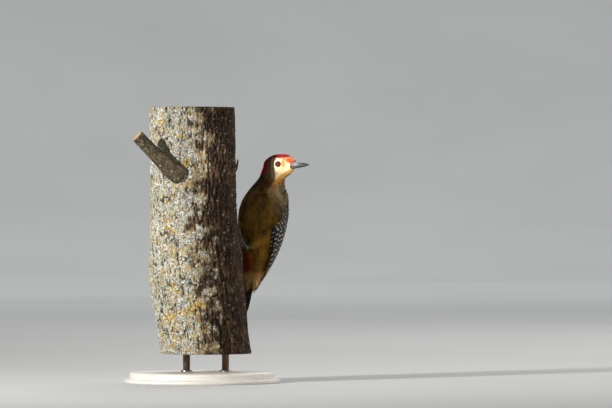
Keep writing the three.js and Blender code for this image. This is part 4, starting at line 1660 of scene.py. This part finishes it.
def feathered(made, shared, barbs, colour, distance=0.0001, strength=0.7, roughness=None):
    """Finishes a vane's material with fine barbs, this many along it: its colour with painted shade between
    the barbs, and their relief.
    """
    fine = placed(made.node_tree, shared["barbs"], Barbs=barbs)
    return finished(made, dimmed(colour, fine["Shade"]), (fine["Height"], distance, strength), roughness)


# ---- materials ----

def plumage_finish(shared):
    """The soft coat of head and body, in the bird's markings."""
    made, tree = material(
        "soft plumage", Roughness=0.8, Sheen_Weight=0.1, Sheen_Roughness=0.5, Specular_IOR_Level=0.14
    )
    fine = pattern_noise(tree, 2400.0, 2.0)
    grain = stops(fine, (0.3, (0.84, 0.84, 0.84, 1)), (0.7, (1.08, 1.08, 1.08, 1)))
    colour = shadowed(placed(tree, shared["markings"])["Color"], 0.8)
    return finished(made, multiplied(colour, grain), (fine, 0.00006, 0.5))


def barred_finish(shared, name, **bars):
    """Black vanes crossed by white bars, with fine barbs and a dark shaft."""
    made, tree = material(name, Roughness=0.6, Specular_IOR_Level=0.2)
    mask = placed(tree, shared["bars"], White=attribute(tree, "white"), **bars)["Mask"]
    black = stops(pattern_noise(tree, 300.0), (0.35, BAR_BLACK), (0.7, (30, 27, 25)))
    white = stops(pattern_noise(tree, 260.0), (0.35, (206, 196, 170)), (0.65, BAR_WHITE))
    barred = shadowed(mix(mask, black, white), 0.8)
    return feathered(made, shared, 24.0, barred, roughness=ranging(mask, 0.46, 0.68))


def rump_finish(shared):
    """White vanes with a few thin dark bars."""
    made, tree = material("white rump plumage", Roughness=0.7, Sheen_Weight=0.2, Specular_IOR_Level=0.3)
    mask = placed(tree, shared["bars"], Period=7.5, White=0.18, Slant=-1.6, Shaft=-0.1, Jumble=3.0)["Mask"]
    white = stops(pattern_noise(tree, 260.0), (0.35, (206, 196, 172)), (0.65, RUMP_WHITE))
    return feathered(made, shared, 18.0, shadowed(mix(mask * 0.7, white, (52, 46, 40)), 0.75))


def under_tail_finish(shared):
    """Buff vanes, paler below, with dark V-shaped marks."""
    made, tree = material("under tail plumage", Roughness=0.75, Sheen_Weight=0.2, Specular_IOR_Level=0.25)
    mask = placed(tree, shared["bars"], Period=6.5, White=0.26, Slant=3.6, Shaft=-0.1, Jumble=6.5)["Mask"]
    pale = stops(pattern_noise(tree, 150.0), (0.35, (146, 108, 56)), (0.65, (204, 166, 100)))
    lower = between(add(tree, "SeparateXYZ", 2, Vector=own_place(tree)), 0.126, 0.106)
    marked = mix(mask * (lower * 0.6), mix(lower, (150, 106, 44), pale), (62, 48, 32))
    return feathered(made, shared, 16.0, shadowed(marked, 0.8), strength=0.6)


def tail_finish(shared):
    """Glossy black vanes with stiff shafts, the middle and outer ones barred with white."""
    made, tree = material("tail plumage", Roughness=0.5, Specular_IOR_Level=0.35)
    white = attribute(tree, "white")
    bars = placed(tree, shared["bars"], Period=6.4, White=white, Shaft=0.45, Slant=0.8)["Mask"]
    black = stops(pattern_noise(tree, 200.0), (0.35, (12, 12, 14)), (0.7, (28, 26, 26)))
    shaft = 1 - between(abs(attribute(tree, "across")), 0.02, 0.06)
    colour = mix(shaft * 0.7, mix(bars * between(white, 0.2, 0.4), black, BAR_WHITE), (96, 90, 82))
    return feathered(made, shared, 60.0, colour, distance=0.00012)


def eye_finish():
    """A wet dark eye: black pupil, red-brown iris with fine rays, and a dark rim."""
    made, tree = material(
        "wet eye", Roughness=0.3, Specular_IOR_Level=0.2, Coat_Weight=0.22, Coat_Roughness=0.05
    )
    colour = stops(
        attribute(tree, "ring") + pattern_noise(tree, 2600.0, 2.0) * 0.04,
        (0.0, (4, 3, 3)), (0.50, (5, 3, 3)), (0.54, (74, 16, 10)),
        (0.62, (128, 28, 16)), (0.72, (60, 14, 10)), (0.82, (12, 7, 6)),
    )
    rays = stops(pattern_noise(tree, 5200.0, 3.0), (0.3, (0.55, 0.55, 0.55, 1)), (0.7, (1.2, 1.1, 1.1, 1)))
    return finished(made, multiplied(colour, rays))


def lid_finish():
    """Dark grey bare skin with fine grain, for eyelids and the corner of the mouth."""
    made, tree = material("bare dark skin", Roughness=0.5, Specular_IOR_Level=0.4)
    grain = pattern_noise(tree, 3800.0, 3.0)
    return finished(made, stops(grain, (0.3, (36, 28, 24)), (0.7, (66, 52, 44))), (grain, 0.0001, 0.8))


def bill_finish():
    """Grey horn, paler at the root of the upper half, partly as painted highlight on the bill's top, and
    black at the tip, with lengthwise growth lines.
    """
    made, tree = material("bill horn", Roughness=0.68, Specular_IOR_Level=0.2)
    lines = pattern_noise(tree, 700.0, 4.0, 0.6, (0.35, 0.35, 2.4))
    ahead, level = attribute(tree, "ahead"), attribute(tree, "level")
    along = (ahead + (lines - 0.5) * 4.0) / BILL_LENGTH
    # Partly painted highlight: the upper half's paler grey root.
    upper = stops(
        along, (0.0, (84, 84, 80)), (0.14, (96, 101, 99)), (0.4, (56, 58, 60)), (0.72, (22, 21, 22))
    )
    lower = stops(along, (0.0, (54, 48, 42)), (0.3, (40, 37, 35)), (0.7, (22, 21, 21)))
    pit = band(level, 0.6, 1.4, 1.8, 2.4) * band(ahead, 1.2, 2.0, 3.4, 4.2)
    nostril = pit * between(attribute(tree, "aside"), 2.2, 2.8)
    colour = mix(nostril * 0.9, mix(between(level, -1.1, -0.7), lower, upper), (16, 13, 12))
    return finished(made, colour, (lines, 0.0003, 0.7), ranging(lines, 0.58, 0.78))


def foot_finish():
    """Grey-olive scaly skin: dark seams between the scutes and a paler, pebbled underside."""
    made, tree = material("scaly foot skin", Roughness=0.55, Specular_IOR_Level=0.35)
    to_edge = {"feature": "DISTANCE_TO_EDGE"}
    cells = add(tree, "TexVoronoi", "Distance", to_edge, Scale=1900.0, Vector=own_place(tree))
    scutes = between(abs(maths("SINE", attribute(tree, "along") * (math.pi / SCUTE_LENGTH))), 0.05, 0.45)
    shape = mix(attribute(tree, "top"), between(cells, 0.0, 0.25), scutes)
    tint = stops(pattern_noise(tree, 500.0, 4.0), (0.3, (46, 43, 34)), (0.7, (82, 77, 61)))
    return finished(made, mix(shape, (32, 28, 22), tint), (shape, 0.00018, 0.7))


def claw_finish():
    made, tree = material("claw horn", Roughness=0.3, Coat_Weight=0.2, Coat_Roughness=0.25)
    grain = pattern_noise(tree, 1500.0, 3.0, 0.6, (1, 1, 0.3))
    return finished(made, stops(grain, (0.3, (26, 23, 22)), (0.7, (70, 62, 54))), (grain, 0.00008, 0.6))


def lichen_cells(tree):
    """Three random values for each small cell of lichen, and how high a place stands in its cell."""
    place = own_place(tree)
    shifted = mix(0.0022, place, add(tree, "TexNoise", "Color", Scale=700.0, Vector=place))
    grain = add(tree, "TexVoronoi", "Color", {"feature": "F1"}, Vector=shifted, Scale=560.0)
    to_edge = {"feature": "DISTANCE_TO_EDGE"}
    seam = add(tree, "TexVoronoi", "Distance", to_edge, Vector=shifted, Scale=560.0)
    parts = wires(tree, add(tree, "SeparateColor", 0, Color=grain).socket.node)
    return list(parts.values()), between(seam, 0.02, 0.24)


def lichened(tree, bare):
    """Bark grown over by small pale, green and golden lichens in clusters, and how fully they cover it."""
    crust, cover = attribute(tree, "crust"), attribute(tree, "cover")
    (first, second, third), raised = lichen_cells(tree)
    spread = pattern_noise(tree, 150.0, 4.0, 0.6) * 1.5 + first * 0.34 + (crust - 0.5) * 0.3
    grown = between(spread + cover * 0.34, 1.10, 1.20)
    pale = stops(
        second, (0.0, (132, 136, 114)), (0.3, (184, 186, 170)), (0.6, (212, 212, 202)), (1.0, (236, 234, 226))
    )
    green = stops(second, (0.0, (104, 110, 74)), (1.0, (176, 180, 136)))
    gold = stops(second, (0.0, (168, 122, 18)), (1.0, (226, 190, 52)))
    lichen = mix(between(pattern_noise(tree, 65.0, 4.0, 0.6), 0.50, 0.64) * 0.7, pale, green)
    lichen = mix(between(pattern_noise(tree, 48.0, 3.0) + third * 0.16, 0.70, 0.74), lichen, gold)
    # Painted shade in the seams between the lichen's small raised cells.
    lichen = mix(1 - raised, lichen, mix(0.7, lichen, (52, 42, 30)))
    return mix(grown * (cover * 0.6 + 0.4), bare, lichen), raised * grown


def sawn_wood(tree, fine, patchy):
    """The sawn end of the trunk: growth rings, a darker heart and a rim of bark."""
    pith = attribute(tree, "from_pith")
    rings = maths("SINE", pith * (GROWTH_RINGS * math.tau) + patchy * 6.0)
    wood = stops(
        rings * 0.22 + fine, (0.25, (126, 92, 60)), (0.55, (178, 142, 100)), (0.85, (204, 172, 128))
    )
    heart = mix(between(pith, 0.35, 0.55), (140, 100, 66), wood)
    return mix(between(pith, 0.90, 0.94), mix(0.5, heart, wood), (58, 42, 30))


def bark_finish():
    """Fibrous brown bark, painted darker as shade on its bare side and deep in its cracks, under lichens, and
    sawn wood ends.
    """
    made, tree = material("lichened bark", Roughness=0.9, Specular_IOR_Level=0.2)
    fine = pattern_noise(tree, 900.0, 5.0, 0.65)
    patchy = pattern_noise(tree, 65.0, 4.0, 0.6)
    fibres = pattern_noise(tree, 800.0, 4.0, 0.6, (1, 1, 0.13))
    ground = fibres * 0.65 + patchy * 0.35
    # Painted shade: the bare side's brown bark, a darker copy of the same bark, for the side away from the
    # light.
    bare_in_shade = stops(
        ground, (0.36, (20, 14, 8)), (0.48, (48, 34, 20)), (0.58, (76, 54, 34)), (0.68, (98, 80, 56))
    )
    weathered = stops(
        ground, (0.34, (58, 44, 28)), (0.45, (124, 103, 72)), (0.55, (176, 155, 116)), (0.68, (204, 188, 152))
    )
    surface, crusted = lichened(tree, mix(attribute(tree, "cover"), bare_in_shade, weathered))
    # Painted shade: the bark darkens towards black-brown deep in its cracks.
    deep = between(attribute(tree, "crack") + (fine - 0.5) * 0.7, 0.35, 0.8)
    surface = mix(deep * 0.9, surface, (36, 26, 18))
    colour = mix(attribute(tree, "sawn"), surface, sawn_wood(tree, fine, patchy))
    return finished(made, colour, (fibres * 0.7 + fine * 0.4 + crusted * 0.7, 0.0009, 0.85))


def limb_finish():
    """The thin dark olive-brown bark of the branch stub and the snag, with sawn ends."""
    made, tree = material("branch bark", Roughness=0.82, Specular_IOR_Level=0.25)
    fine = pattern_noise(tree, 1100.0, 5.0, 0.65)
    ground = fine * 0.5 + pattern_noise(tree, 120.0, 4.0, 0.6) * 0.5
    brown = stops(ground, (0.32, (44, 36, 26)), (0.5, (84, 72, 50)), (0.68, (118, 108, 82)))
    crusted = mix(between(pattern_noise(tree, 260.0, 4.0), 0.60, 0.70), brown, (158, 154, 128))
    # Painted shade: darker deep in the bark's cracks.
    surface = mix(attribute(tree, "crack") * 0.75, crusted, (30, 24, 17))
    wood = stops(fine, (0.3, (140, 108, 72)), (0.7, (196, 166, 120)))
    return finished(made, mix(attribute(tree, "sawn"), surface, wood), (fine, 0.0005, 0.7))


def lichen_finish():
    """Grey-green rosettes with pale rims, and small golden cushions."""
    made, tree = material("lichen", Roughness=0.92, Specular_IOR_Level=0.15)
    speckle, tone = pattern_noise(tree, 2600.0, 4.0, 0.65), attribute(tree, "tone")
    grey = stops(
        tone, (0.0, (168, 170, 150)), (0.4, (206, 204, 188)), (0.75, (188, 186, 150)), (1.0, (226, 222, 208))
    )
    gold = stops(tone, (0.0, (214, 176, 40)), (0.6, (196, 168, 60)), (1.0, (208, 158, 40)))
    colour = mix(attribute(tree, "gold"), grey, gold)
    inner = mix(between(attribute(tree, "ring"), 0.15, 0.8), (96, 92, 70), colour)
    shade = stops(speckle, (0.3, (0.55, 0.55, 0.55, 1)), (0.7, (1.05, 1.05, 1.05, 1)))
    return finished(made, multiplied(mix(0.55, colour, inner), shade), (speckle, 0.0006, 0.8))


def lacquer_finish():
    """Wood under pale matt lacquer, its faint grain running along X."""
    made, tree = material("pale lacquer", Roughness=0.5, Coat_Weight=0.12, Coat_Roughness=0.4)
    grain = pattern_noise(tree, 60.0, 6.0, 0.62, (0.12, 1.6, 1.6))
    pores = pattern_noise(tree, 520.0, 3.0, 0.6, (0.06, 1.4, 1.4))
    wood = stops(grain, (0.28, (186, 179, 167)), (0.48, (200, 194, 184)), (0.7, (211, 206, 198)))
    colour = mix(between(pores, 0.56, 0.68) * 0.3, wood, (160, 151, 138))
    return finished(made, colour, (pores, 0.0001, 0.35), ranging(pores, 0.46, 0.6))


def steel_finish():
    """Brushed steel, its fine scratches running round the rod."""
    made, tree = material("brushed steel", Metallic=1.0, Roughness=0.32)
    brushing = pattern_noise(tree, 900.0, 3.0, 0.6, (0.08, 0.08, 4.0))
    colour = stops(brushing, (0.3, (150, 150, 152)), (0.7, (196, 196, 198)))
    return finished(made, colour, (brushing, 0.00004, 0.4), ranging(brushing, 0.24, 0.42))


def floor_finish():
    made, tree = material("pale floor", Roughness=0.9, Specular_IOR_Level=0.2)
    tone = pattern_noise(tree, 1.6)
    return finished(made, stops(tone, (0.3, (184, 184, 182)), (0.7, (190, 190, 188))))


# ---- stage, lights and camera ----

FLOOR_RADIUS, FLOOR_RISE = 7.5, 5.0
FLOOR_STEPS, RISE_STEPS = 96, 24
VIEW_MIDDLE = Vector((0.1174, 0, 0.2018))    # the middle of the view, well to the right of the perch
VIEW_DISTANCE, VIEW_LENS = 5.95, 310
SKY, SKY_STRENGTH = (0.98, 0.97, 0.95, 1), 0.34
COOL_WHITE = (0.92, 0.96, 1.0)


def floor(finish):
    """A round pale floor whose far edge curves up into a backdrop on every side."""
    curve = [(FLOOR_RADIUS + FLOOR_RISE * out, FLOOR_RISE * up) for out, up in quarter(RISE_STEPS)]
    shape = spun([(0, 0), (FLOOR_RADIUS / 2, 0), *curve], FLOOR_STEPS)
    bmesh.ops.reverse_faces(shape, faces=[face for face in shape.faces if face.normal.z < -0.5])
    made = bpy.data.objects.new("floor", mesh_from(shape, "floor"))
    bpy.context.scene.collection.objects.link(made)
    made.data.materials.append(finish)


def lamp(name, kind, watts, target, azimuth, elevation, distance, **settings):
    """A light that looks at a target from an azimuth, where 0 is the camera's side and 90 is its right."""
    data = bpy.data.lights.new(name, kind)
    for key, value in settings.items():
        setattr(data, key, value)
    data.energy = watts
    turn, rise = math.radians(azimuth), math.radians(elevation)
    way = Vector((math.sin(turn) * math.cos(rise), -math.cos(turn) * math.cos(rise), math.sin(rise)))
    made = bpy.data.objects.new(name, data)
    made.location = target + way * distance
    made.rotation_euler = way.to_track_quat("Z", "Y").to_euler()
    bpy.context.scene.collection.objects.link(made)


def disk_lamp(name, watts, target, azimuth, elevation, distance, size, **settings):
    lamp(name, "AREA", watts, target, azimuth, elevation, distance, shape="DISK", size=size, **settings)


def studio():
    """A small key from the left, a narrow light on the face, soft fills, and a light on the far floor."""
    world = bpy.data.worlds.new("studio")
    bpy.context.scene.world = world
    world.use_nodes = True
    plugs = world.node_tree.nodes["Background"].inputs
    plugs["Color"].default_value = SKY
    plugs["Strength"].default_value = SKY_STRENGTH
    centre, face, far_floor = (CAD_LOW + CAD_HIGH) / 2, at_head(4, -2, -3), Vector((0, 6.6, 0))
    disk_lamp("key", 7.9, centre, -47, 16, 2.6, 0.16, spread=math.radians(50))
    lamp(
        "head light", "SPOT", 1040, face, -36, 5, 2.4, spot_size=math.radians(1.2), spot_blend=0.3,
        shadow_soft_size=0.02,
    )
    disk_lamp("front fill", 4, centre, 12, 20, 3.4, 2.4)
    disk_lamp("side fill", 15, centre, 96, 8, 3.2, 1.8, spread=math.radians(90))
    disk_lamp("back", 30, centre, 150, 40, 3.0, 1.8)
    disk_lamp("backdrop light", 230, far_floor, 0, 90, 5.2, 5.0, color=COOL_WHITE)
    bpy.context.scene.view_settings.view_transform = "Standard"


def camera():
    data = bpy.data.cameras.new("camera")
    data.lens = VIEW_LENS
    made = bpy.data.objects.new("camera", data)
    made.location = VIEW_MIDDLE - Vector((0, VIEW_DISTANCE, 0))
    made.rotation_euler = (math.radians(90), 0, 0)
    bpy.context.scene.collection.objects.link(made)
    bpy.context.scene.camera = made


def build():
    """Makes the bird's pieces, the perch and the stand, then the stage, the lights and the camera."""
    shared = {"markings": markings_group(), "barbs": barbs_group(), "bars": cross_bars_group()}
    plumage, lid, claw, scales = plumage_finish(shared), lid_finish(), claw_finish(), foot_finish()
    eye, wood, steel = eye_finish(), limb_finish(), steel_finish()
    spotted = barred_finish(
        shared, "spotted wing plumage", Period=5.2, Shaft=0.3, Margin=0.7, Slant=1.8, Jumble=10.4
    )
    coat(plumage)
    mantle(barred_finish(shared, "barred plumage"))
    tail_coverts(rump_finish(shared), under_tail_finish(shared))
    tail(tail_finish(shared))
    bill(bill_finish())
    for side in SIDES:
        wing(side, spotted)
        eyeball(side, eye)
        eyelid(side, lid)
        gape(side, lid)
        nostril_bristles(side, plumage)
        foot(side, scales)
        claws(side, claw)
        stand_rod(side, steel)
    trunk_mesh = trunk(bark_finish())
    lichens(lichen_finish(), trunk_mesh)
    limb("perch_branch_stub", "branch_stub_bark", 0.55 * MM, STUB_WAY, wood)
    limb("perch_snag", "snag_bark", 0.25 * MM, SNAG_WAY, wood)
    stand_base(lacquer_finish())
    floor(floor_finish())
    studio()
    camera()


build()
